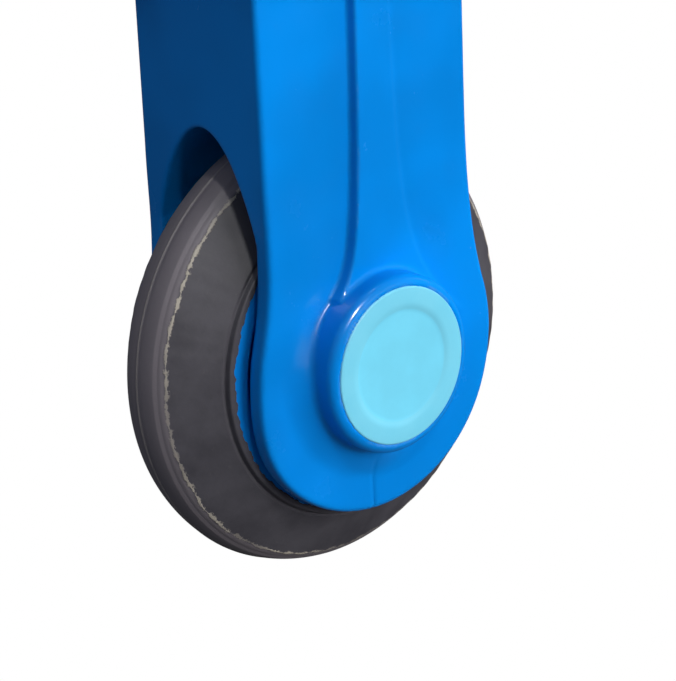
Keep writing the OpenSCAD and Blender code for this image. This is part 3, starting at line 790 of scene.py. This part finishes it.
def build_caps():
    wheels = [middle(f"front_{side}_tyre") for side in SIDES]
    caps = gather([cap_pair(np.array(wheel) / MM) for wheel in wheels])
    piece = make_piece("front_caps", caps, "cart", ["front_hub_caps"], flat_angle=50)
    mark_insets(piece, wheels)
    for side in SIDES:
        name, node, place = f"{side}_caster_caps", f"{side}_hub_caps", middle(f"rear_{side}_tyre")
        piece = make_piece(name, cap_pair((0, 0, 0)), f"{side}_caster", [node], place, 50)
        mark_insets(piece, [Vector()])


# ---- deck, mat and bumper ----

deck_low, deck_high = span("deck_shell")
mat_low, mat_high = span("load_mat")
bumper_low, bumper_high = span("edge_bumper")
DECK_CORNER = 50.0
SKIN = 4.0
RIB_PITCH = 50.0
RIB_HEIGHT = 12.0
CORNER_STEPS = 14


def plan_ring(length, width, radius):
    """Points of a rounded rectangle in X and Y, anticlockwise."""
    points = []
    for corner, (sx, sy) in enumerate([(1, -1), (1, 1), (-1, 1), (-1, -1)]):
        x, y = sx * (length / 2 - radius), sy * (width / 2 - radius)
        for t in np.linspace(0, 1, CORNER_STEPS + 1):
            angle = math.radians(90 * (corner - 1 + t))
            points.append((x + radius * math.cos(angle), y + radius * math.sin(angle)))
    return np.array(points)


def hoops(length, width, radius, profile, closed=False):
    """Rings of a rounded rectangle stacked along a profile of (inset, z)."""
    rings = []
    for inset, z in profile:
        ring = plan_ring(length - 2 * inset, width - 2 * inset, radius - inset)
        rings.append(np.column_stack([ring, np.full(len(ring), z)]))
    return stack(rings, closed)


def bar(section, start, end, along, taper):
    """A closed prism of a (side, z) section, anticlockwise seen from its end, along axis 0 or 1.

    taper (mm) draws both its ends in and down over that length.
    """
    section = np.asarray(section, float)
    rows = [(start, 1.0), (end, 1.0)]
    if taper:
        rows = [(start, 0.25), (start + 0.4 * taper, 0.75), (start + taper, 1.0)]
        rows += [(end - taper, 1.0), (end - 0.4 * taper, 0.75), (end, 0.25)]
    low = section[:, 1].min()
    centre = (section[:, 0].min() + section[:, 0].max()) / 2
    rings = []
    for place, scale in rows:
        side = centre + (section[:, 0] - centre) * scale
        height = low + (section[:, 1] - low) * scale
        flat = np.full(len(section), place)
        rings.append(np.column_stack([flat, side, height] if along == 0 else [-side, flat, height]))
    return stack(rings)


def mirrored_section(right):
    """A closed (side, z) section from the points of its right half, starting at its left foot."""
    left = [(-side, z) for side, z in right]
    return left[:1] + right + left[:0:-1]


def bar_row(section, pitch, count, half, half_across, radius, along, taper=0.0):
    """Bars side by side, pitch apart, that all reach the edge of a rounded rectangle."""
    bars = []
    for k in range(-count, count + 1):
        reach = reach_in(k * pitch, half, half_across, radius)
        bars.append(bar([(side + k * pitch, z) for side, z in section], -reach, reach, along, taper))
    return bars


def reach_in(side, half_length, half_width, radius):
    """How far along a rounded rectangle reaches, at a distance sideways from its middle line."""
    past = max(0.0, abs(side) - (half_width - radius))
    return half_length - radius + math.sqrt(max(0.0, radius**2 - past**2))


def deck_profile():
    """From the ceiling down inside the skirt, then up outside past the bumper's channel, onto the top."""
    low, top = deck_low.z, deck_high.z
    return rounded([
        (14, top - SKIN, 0), (SKIN, top - SKIN, 3), (SKIN - 0.4, low, 1.1), (0, low, 1.3),
        (0, bumper_low.z - 3.4, 0.6), (-1.4, bumper_low.z - 2.6, 0.5), (-1.4, bumper_low.z - 0.4, 0.4),
        (0, bumper_low.z - 0.1, 0.1), (0, bumper_high.z + 0.1, 0.1), (-1.4, bumper_high.z + 0.4, 0.4),
        (-1.4, bumper_high.z + 2.6, 0.5), (0, bumper_high.z + 3.4, 0.6), (0, top, 5), (14, top, 0),
    ], 6)


def deck_ribs():
    """The crossing ribs under the skin, thinner towards their feet."""
    foot, head = deck_high.z - SKIN - RIB_HEIGHT, deck_high.z - SKIN + 0.4
    section = mirrored_section([(1.1, foot), (1.4, foot + 0.5), (1.5, head)])
    half_l = (deck_high.x - deck_low.x) / 2 - SKIN + 0.5
    half_w = (deck_high.y - deck_low.y) / 2 - SKIN + 0.5
    ribs = []
    for along, half, across in ((0, half_l, half_w), (1, half_w, half_l)):
        count = int(across // RIB_PITCH)
        ribs += bar_row(section, RIB_PITCH, count, half, across, DECK_CORNER - SKIN, along)
    return ribs


def grip_bars():
    """Low moulded bars on the deck between the handle's brackets."""
    top = deck_high.z - 0.2
    section = mirrored_section([(2.2, top), (1.9, top + 0.6), (1.1, top + 0.95)])
    middle_x = (mat_high.x + deck_high.x) / 2
    return [bar([(u - middle_x - 12 * k, z) for u, z in section], -94, 94, 1, 3.0) for k in range(-2, 3)]


def build_deck():
    length, width = deck_high.x - deck_low.x, deck_high.y - deck_low.y
    parts = gather([hoops(length, width, DECK_CORNER, deck_profile())] + deck_ribs() + grip_bars())
    make_piece("deck_moulding", parts, "cart", ["deck_shell"], flat_angle=40)


def build_mat():
    """A rubber mat with a plain border round a field of narrow ribs."""
    low, top = mat_low.z + 0.02, mat_high.z
    length, width = mat_high.x - mat_low.x, mat_high.y - mat_low.y
    border, pitch, corner = 14.6, 6.0, 34.0
    floor = top - 1.2
    slab = hoops(length, width, corner, rounded([
        (20, low, 0), (0, low, 0.2), (0, top, 0.9),
        (border - 1, top, 0.5), (border, floor, 0.5), (20, floor, 0),
    ], 4))
    ridge = mirrored_section([(1.9, floor - 0.1), (1.5, floor + 0.75), (0.7, top - 0.03)])
    half_l, half_w = length / 2 - border - 1.6, width / 2 - border - 1.6
    count = int((half_w - 2) // pitch)
    ridges = bar_row(ridge, pitch, count, half_l, half_w, corner - border, 0, 2.4)
    centre = ((mat_low.x + mat_high.x) / 2, (mat_low.y + mat_high.y) / 2, 0)
    mat = moved(gather([slab] + ridges), centre)
    make_piece("load_mat_rubber", mat, "cart", ["load_mat"], flat_angle=40)


def build_bumper():
    """A rubber strip round the deck, with soft edges and two long grooves."""
    low, high = bumper_low.z, bumper_high.z
    back = deck_low.x - bumper_low.x - 0.05
    outline = [(back, low, 0), (0.1, low, 2.4)]
    for share in (0.36, 0.64):
        z = low + share * (high - low)
        outline += [(0, z - 0.9, 0.4), (0.9, z, 0.5), (0, z + 0.9, 0.4)]
    outline += [(0.1, high, 2.4), (back, high, 0)]
    length, width = bumper_high.x - bumper_low.x, bumper_high.y - bumper_low.y
    strip = hoops(length, width, DECK_CORNER + back, rounded(outline, 4), closed=True)
    make_piece("edge_bumper_strip", strip, "cart", ["edge_bumper"], flat_angle=50)


# ---- handle ----

handle_low, handle_high = span("handle_tube")
grip_low, grip_high = span("handle_grip")
ring_low, ring_high = span("grip_end_rings")
brace_low, brace_high = span("handle_brace")
pivot_low, pivot_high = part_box("pivot_bolts")
TUBE = (handle_high.x - handle_low.x) / 2
HANDLE_X = (handle_high.x + handle_low.x) / 2
HANDLE_HALF = handle_high.y - TUBE
HANDLE_TOP = handle_high.z - TUBE
TUBE_WALL = 1.5
BEND = 45.0
# Lengths along the handle's middle line: one straight leg, one bend, and the whole of it
STRAIGHT = HANDLE_TOP - BEND - handle_low.z
ARC = BEND * math.pi / 2
WHOLE = 2 * (STRAIGHT + ARC + HANDLE_HALF - BEND)
PIVOT_Z = (pivot_low.z + pivot_high.z) / 2 / MM


def sweep(path, tangents, radii, reference, sides, closed=False):
    """A tube about a path, with a radius for each point. The path never runs along reference."""
    first = np.cross(tangents, reference)
    first /= np.linalg.norm(first, axis=1)[:, None]
    second = np.cross(tangents, first)
    angles = np.linspace(0, 2 * math.pi, sides, endpoint=False)
    around = np.cos(angles)[None, :, None] * first[:, None, :]
    around = around + np.sin(angles)[None, :, None] * second[:, None, :]
    points = np.asarray(path)[:, None, :] + np.asarray(radii)[:, None, None] * around
    return points.reshape(-1, 3), quads(len(path), sides, closed)


def handle_point(s):
    """Place and direction at s mm along the handle's middle line, from the foot of its -Y side."""
    if s > WHOLE / 2:
        (x, y, z), (tx, ty, tz) = handle_point(WHOLE - s)
        return (x, -y, z), (tx, ty, -tz)
    if s < STRAIGHT:
        return (HANDLE_X, -HANDLE_HALF, handle_low.z + s), (0, 0, 1)
    if s < STRAIGHT + ARC:
        angle = (s - STRAIGHT) / BEND
        y = -HANDLE_HALF + BEND * (1 - math.cos(angle))
        z = HANDLE_TOP - BEND + BEND * math.sin(angle)
        return (HANDLE_X, y, z), (0, math.sin(angle), math.cos(angle))
    return (HANDLE_X, -HANDLE_HALF + BEND + s - STRAIGHT - ARC, HANDLE_TOP), (0, 1, 0)


def build_handle():
    bore = TUBE - TUBE_WALL
    start = [(14, bore), (0.2, bore), (0, bore + 0.2), (0, TUBE - 0.4), (0.15, TUBE - 0.1), (0.5, TUBE)]
    bend_end, far_bend, far_leg = STRAIGHT + ARC, WHOLE - STRAIGHT - ARC, WHOLE - STRAIGHT
    # Where each stretch of the tube starts and ends, and its number of stations
    stretches = [
        (20, STRAIGHT, 24), (STRAIGHT, bend_end, 20), (bend_end, far_bend, 8),
        (far_bend, far_leg, 20), (far_leg, WHOLE - 20, 24),
    ]
    inner = [20.0]
    for near, far, count in stretches:
        inner += list(np.linspace(near, far, count)[1:])
    stations = start + [(s, TUBE) for s in inner] + [(WHOLE - s, r) for s, r in start[::-1]]
    places = [handle_point(s) for s, _ in stations]
    path = np.array([p for p, _ in places])
    tangents = np.array([t for _, t in places], float)
    tube = sweep(path, tangents, [r for _, r in stations], (1, 0, 0), 48)
    make_piece("handle_tube_coated", tube, "handle", ["handle_tube"], flat_angle=40)


def weld_bead(side, radius, height):
    """A rippled weld where the brace meets a side tube."""
    angles = np.linspace(0, 2 * math.pi, 120, endpoint=False)
    x = radius * np.cos(angles)
    y = side * (HANDLE_HALF - np.sqrt(TUBE**2 - x**2))
    path = np.column_stack([HANDLE_X + x, y, height + radius * np.sin(angles)])
    tangents = np.roll(path, -1, axis=0) - np.roll(path, 1, axis=0)
    tangents /= np.linalg.norm(tangents, axis=1)[:, None]
    bead = 1.55 + 0.32 * np.abs(np.sin(13 * angles)) + 0.12 * ripple(angles, 4 + side, 9)
    return sweep(path, tangents, bead, (0, 1, 0), 12, closed=True)


def build_brace():
    radius = (brace_high.z - brace_low.z) / 2
    height = (brace_high.z + brace_low.z) / 2
    reach = HANDLE_HALF - math.sqrt(TUBE**2 - radius**2) + 0.3
    y = np.linspace(-reach, reach, 12)
    path = np.column_stack([np.full(12, HANDLE_X), y, np.full(12, height)])
    tangents = np.tile([0.0, 1.0, 0.0], (12, 1))
    parts = [sweep(path, tangents, np.full(12, radius), (1, 0, 0), 40)]
    parts += [weld_bead(side, radius + 0.3, height) for side in SIDES.values()]
    make_piece("handle_brace_welded", gather(parts), "handle", ["handle_brace"], flat_angle=60)


def grip_profile():
    half, radius, bore = grip_high.y, (grip_high.z - grip_low.z) / 2, TUBE + 0.08
    outer = rounded([(bore, half, 0), (radius - 0.5, half, 2.4), (radius - 0.45, half - 9, 0)], 5)
    barrel = [(radius - 0.45 * abs(y / (half - 9)) ** 2, y) for y in np.linspace(half - 12, 0, 14)]
    return both_halves(outer + barrel)


def grip_wobble(angles, radius, along):
    """Foam is never quite even: slow swells along and about it."""
    swell = 0.10 * ripple(angles + along / 40, 21, 5) - 0.12 + 0.06 * np.sin(along / 9)
    return radius + np.where(radius > TUBE + 2, swell, 0), along


def build_grip():
    place = Vector((HANDLE_X, 0, HANDLE_TOP)) * MM
    grip = lathe(grip_profile()[::-1], 128, grip_wobble)
    make_piece("handle_grip_foam", grip, "handle", ["handle_grip"], place, 50)
    bore, radius = TUBE + 0.08, (ring_high.z - ring_low.z) / 2
    inner, outer = grip_high.y + 0.05, ring_high.y
    middle_y = (inner + outer) / 2
    ring = lathe(rounded([
        (bore, inner, 0), (radius, inner, 0.9), (radius, middle_y - 0.6, 0.2), (radius - 0.5, middle_y, 0.3),
        (radius, middle_y + 0.6, 0.2), (radius, outer, 1.7), (bore + 0.4, outer, 0.5), (bore, outer - 0.6, 0),
    ], 4)[::-1], 96)
    rings = gather([ring, mirrored(ring)])
    make_piece("grip_end_collars", rings, "handle", ["grip_end_rings"], place, 50)


def build_knobs():
    shape = surface_net(knob_field, (-21, -1.5, -21), (21, KNOB_THICK + 1.5, 21), FINE)
    place = Vector(((knob_low.x + knob_high.x) / 2, knob_low.y, (knob_low.z + knob_high.z) / 2))
    for side, sign in SIDES.items():
        at = Vector((place.x, sign * place.y, place.z))
        node = f"{side}_clamp_knob"
        make_piece(f"{side}_star_knob", sided(shape, side), f"{side}_knob", [node], at)


# ---- brackets, bolts and raceways ----

bracket_low, bracket_high = span("handle_brackets")
bolts_low, bolts_high = span("bracket_bolts")
PLATE = 4.0
CHEEK_IN = TUBE + 0.4
CHEEK_OUT = CHEEK_IN + PLATE
PIVOT_REACH = pivot_high.y / MM - HANDLE_HALF + CHEEK_OUT
BRACKET_BOLTS = (20.0, 24.0)
BOLT = 3.0


def box_field(x, y, z, low, high, edge):
    """A box from low to high with its edges rounded to radius edge."""
    past = [np.abs(v - (a + b) / 2) - (b - a) / 2 + edge for v, a, b in zip((x, y, z), low, high)]
    outside = np.sqrt(sum(positive(p) ** 2 for p in past))
    return np.minimum(common(*past), 0) + outside - edge


def bracket_field(x, y, z):
    """A pressed foot with two welded cheeks and a stop between them, from z 0 at the deck."""
    foot_x, foot_y, cheek_x, stop_low, pivot_hole = 32, 36, 22, 45, 5.06
    top = bracket_high.z - bracket_low.z
    stop_high = top - 6
    # Box fields of an outline reach well past it on the third axis
    far = 50
    side = np.abs(y)
    base = box_field(x, y, 0 * z, (-foot_x, -foot_y, -far), (foot_x, foot_y, far), 8)
    base = extrude(base, np.abs(z - PLATE / 2) - PLATE / 2, 1.0)
    cheek = box_field(x, 0 * y, z, (-cheek_x, -far, -30), (cheek_x, far, top), 9)
    cheek = extrude(cheek, np.abs(side - (CHEEK_IN + CHEEK_OUT) / 2) - PLATE / 2, 0.8)
    stop_from, stop_to = (TUBE + 0.5, -CHEEK_IN - 1, stop_low), (TUBE + 4.5, CHEEK_IN + 1, stop_high)
    stop = box_field(x, y, z, stop_from, stop_to, 0.9)
    body = join(join(np.maximum(cheek, -z), stop, 1.2), base, 2.4)
    body = cut(body, np.hypot(x, z - PIVOT_Z + bracket_low.z) - pivot_hole, 0.5)
    dx, dy = BRACKET_BOLTS
    body = cut(body, np.hypot(np.abs(x) - dx, side - dy) - BOLT - 0.05, 0.4)
    return np.maximum(body, -z)


def build_brackets():
    top = bracket_high.z - bracket_low.z
    shape = surface_net(bracket_field, (-33, -37, -1), (33, 37, top + 1.5), FINE)
    places = [(HANDLE_X, side * HANDLE_HALF, bracket_low.z) for side in SIDES.values()]
    both = gather([moved(shape, place) for place in places])
    make_piece("handle_brackets_welded", both, "cart", ["handle_brackets"])


def hexagon(x, y, half):
    """Signed distance inside a hexagon whose flats are half from its middle."""
    return common(np.abs(y), np.abs(x * 0.866 + y / 2), np.abs(x * 0.866 - y / 2)) - half


def bracket_bolt_field(x, y, z):
    """A button-head bolt through the deck with its nut, about the deck bracket's top at z 0."""
    head, dome_drop, key, key_floor = 5.3, 4.2, 1.8, 1.2
    nut_half, nut_middle, nut_thick, nut_chamfer = 4.95, 4, 4.8, 5.55
    radius = np.hypot(x, y)
    head_top = bolts_high.z - bracket_low.z - PLATE
    low = bolts_low.z - bracket_low.z - PLATE
    dome = common(np.hypot(radius, z + dome_drop) - head_top - dome_drop, radius - head, -z)
    dome = cut(dome, np.maximum(hexagon(x, y, key), key_floor - z), 0.2)
    shank = np.maximum(radius - BOLT + 0.1, np.abs(z - low / 2) + low / 2)
    from_nut = np.abs(z - low - nut_middle)
    nut = common(hexagon(x, y, nut_half), from_nut - nut_thick / 2, (radius + from_nut) * 0.707 - nut_chamfer)
    return np.minimum(np.minimum(dome, shank), nut)


def build_bracket_bolts():
    depth = bolts_low.z - bracket_low.z - PLATE
    step = 0.4
    shape = surface_net(bracket_bolt_field, (-6.5, -6.5, depth - 1), (6.5, 6.5, 4), step)
    dx, dy = BRACKET_BOLTS
    bolts = [
        moved(shape, (HANDLE_X + sx * dx, side * HANDLE_HALF + sy * dy, bracket_low.z + PLATE))
        for side in SIDES.values() for sx in (-1, 1) for sy in (-1, 1)
    ]
    make_piece("bracket_bolt_set", gather(bolts), "cart", ["bracket_bolts"])


def pivot_bolt_field(x, y, z):
    """A hex bolt along Y: its chamfered head ends at y 0 and its shank runs outward."""
    head_half, head_high, flange, flange_high, pin, pin_end = 8.45, 6.4, 9.7, 1.2, 4.98, 4.3
    radius = np.hypot(x, z)
    chamfer = (radius - 9.4) * 0.5 + (-y - 6.2) * 0.866
    head = common(hexagon(x, z, head_half), np.abs(y + head_high / 2) - head_high / 2, chamfer)
    washer = extrude(radius - flange, np.abs(y + flange_high / 2) - flange_high / 2, 0.3)
    tip = y - PIVOT_REACH + 0.6 + 0.5 * positive(radius - pin_end)
    shank = common(radius - pin, -y - 1, tip)
    return np.minimum(np.minimum(head, washer), shank)


def build_pivot_bolts():
    step = 0.5
    shape = surface_net(pivot_bolt_field, (-11, -7.5, -11), (11, PIVOT_REACH + 1, 11), step)
    right = moved(shape, (HANDLE_X, HANDLE_HALF - CHEEK_OUT, PIVOT_Z))
    make_piece("pivot_bolt_pair", gather([right, mirrored(right)]), "cart", ["pivot_bolts"])


def raceway(node):
    """A pressed ring between two heights, with rolled outer edges and a hollow for the balls."""
    low, high = span(node)
    thick = high.z - low.z
    upper = node.startswith("upper")
    inner, near, far = 10.0, 18.3, 23.7
    face = 0 if upper else thick
    deep = 1.9 if upper else thick - 1.9
    groove = [(near, face, 0.3), ((near + far) / 2, deep, 2.4), (far, face, 0.3)]
    if upper:
        ring = [(inner, thick - 0.1, 0), (inner, 0, 0.3)] + groove
        ring += [(RACE, 0, 1.4), (RACE, thick, 0.5), (inner, thick, 0)]
    else:
        ring = [(inner, 0, 0), (RACE, 0, 0.5), (RACE, thick, 1.4)] + groove[::-1]
        ring += [(inner, thick, 0.3), (inner, 0.1, 0)]
    return moved(upright(lathe(rounded(ring, 4), 128)), (0, 0, low.z))


def build_raceways():
    pivot = middle("left_lower_raceway") / MM
    offsets = {side: (pivot.x, sign * abs(pivot.y), 0) for side, sign in SIDES.items()}
    upper = raceway("upper_raceways")
    both = gather([moved(upper, offset) for offset in offsets.values()])
    make_piece("upper_raceway_pair", both, "cart", ["upper_raceways"], flat_angle=40)
    for side, offset in offsets.items():
        node = f"{side}_lower_raceway"
        shape = moved(raceway(node), offset)
        make_piece(node + "_ring", shape, f"{side}_caster", [node], flat_angle=40)


build_legs()
build_forks()
build_pedestals()
build_wheels()
build_caps()
build_deck()
build_mat()
build_bumper()
build_handle()
build_brace()
build_grip()
build_knobs()
build_brackets()
build_bracket_bolts()
build_pivot_bolts()
build_raceways()

# ---- materials of the CAD nodes, seen where no piece replaces them ----

for node, slot in SLOTS.items():
    mesh = NODES[node].data
    mesh.materials.clear()
    mesh.materials.append(RAIL if node == "chassis_rails" else PAINTS[slot])
    smooth(mesh, 30)

# ---- stage, lights and camera ----

SKY_TOP = 0.45
SKY_LOW = 0.08
SKY_COLOUR = (0.93, 0.96, 1.0)
WHITE = (1, 1, 1)
LAMP_PLACE = (-0.95, -2.2, 2.2)
LAMP_TARGET = (-0.3, -0.2, 0.05)
# Each light's name, place, target, size, power, colour and the rays that don't see it
LIGHTS = [
    ("key", (0.85, -3.3, 0.75), (-0.2, -0.2, 0.1), (2.2, 1.9), 102, WHITE, "glossy"),
    ("lamp", LAMP_PLACE, LAMP_TARGET, (0.18, 0.18), 13, WHITE, None),
    ("glint", LAMP_PLACE, LAMP_TARGET, (0.4, 0.4), 150, WHITE, "diffuse"),
    ("left_fill", (-3.4, -0.6, 1.4), (-0.1, 0, 0.2), (1.8, 1.8), 5, (0.15, 0.38, 1.0), "glossy"),
    ("right_fill", (4.0, -1.2, 1.6), (0, 0, 0.3), (1.6, 1.6), 80, WHITE, "glossy"),
    ("back_fill", (0.8, 3.8, 2.2), (0, 0, 0.3), (2.2, 2.2), 150, WHITE, None),
    ("top", (0.1, 0.3, 4.0), (0, 0, 0.2), (2.0, 2.0), 90, WHITE, None),
]


def backdrop(name):
    """Makes the object just added a plain white backdrop that the camera sees and the lighting doesn't."""
    thing = bpy.context.object
    thing.name = name
    material = bpy.data.materials.new(name + "_white")
    glow = Nodes(material)
    glow.tree.nodes.clear()
    glow.add("ShaderNodeOutputMaterial", {0: glow.add("ShaderNodeEmission").outputs[0]})
    thing.data.materials.append(material)
    for ray in ("diffuse", "glossy", "transmission", "volume_scatter", "shadow"):
        setattr(thing, "visible_" + ray, False)


def build_stage():
    bpy.ops.mesh.primitive_uv_sphere_add(radius=24, segments=48, ring_count=24)
    backdrop("backdrop")
    bpy.ops.mesh.primitive_plane_add(size=60)
    backdrop("floor")


def build_sky():
    """A dim bluish sky, darker below the floor line."""
    world = bpy.data.worlds.new("studio")
    bpy.context.scene.world = world
    sky = Nodes(world)
    place = sky.add("ShaderNodeTexCoord").outputs["Generated"]
    height = sky.add("ShaderNodeSeparateXYZ", {0: place}).outputs["Z"]
    ramp = {"Value": height, "From Min": -0.1, "From Max": 0.9, "To Min": SKY_LOW, "To Max": SKY_TOP}
    strength = sky.add("ShaderNodeMapRange", ramp).outputs["Result"]
    sky.fill(sky.tree.nodes["Background"], {"Color": SKY_COLOUR, "Strength": strength})


def build_lights():
    """A softbox at the front right, a small lamp with a strong glint at the front left, and fills."""
    for name, place, target, size, power, colour, unseen in LIGHTS:
        light = bpy.data.lights.new(name, "AREA")
        light.shape = "RECTANGLE"
        light.size, light.size_y = size
        light.energy = power
        light.color = colour
        lamp = bpy.data.objects.new(name, light)
        lamp.location = place
        lamp.rotation_euler = (Vector(target) - Vector(place)).to_track_quat("-Z", "Y").to_euler()
        bpy.context.scene.collection.objects.link(lamp)
        if unseen:
            setattr(lamp, "visible_" + unseen, False)


# The close-up's camera: its turn about Z, height angle and tilt in degrees, its distance from the wheel in
# metres, its lens in mm, and its shift to the right and down in metres
VIEW_AZIMUTH = -40.331
VIEW_ELEVATION = 19.66
VIEW_ROLL = -2.987
VIEW_DISTANCE = 0.9
VIEW_LENS = 218.3
VIEW_RIGHT = 0.00497
VIEW_DOWN = 0.00089


def build_camera():
    a, e, roll = (math.radians(v) for v in (VIEW_AZIMUTH, VIEW_ELEVATION, VIEW_ROLL))
    back = Vector((math.sin(a) * math.cos(e), -math.cos(a) * math.cos(e), math.sin(e)))
    right = Vector((math.cos(a), math.sin(a), 0))
    up = back.cross(right)
    across = math.cos(roll) * right + math.sin(roll) * up
    tall = -math.sin(roll) * right + math.cos(roll) * up
    camera = bpy.data.cameras.new("camera")
    camera.lens = VIEW_LENS
    camera.sensor_width = 36
    camera.clip_start = 0.05
    camera.clip_end = 100
    view = bpy.data.objects.new("camera", camera)
    view.matrix_world = Matrix((across, tall, back)).transposed().to_4x4()
    view.location = middle("front_left_tyre") + VIEW_DISTANCE * back + VIEW_RIGHT * across - VIEW_DOWN * tall
    bpy.context.scene.collection.objects.link(view)
    bpy.context.scene.camera = view
    bpy.context.scene.view_settings.view_transform = "Standard"


build_stage()
build_sky()
build_lights()
build_camera()
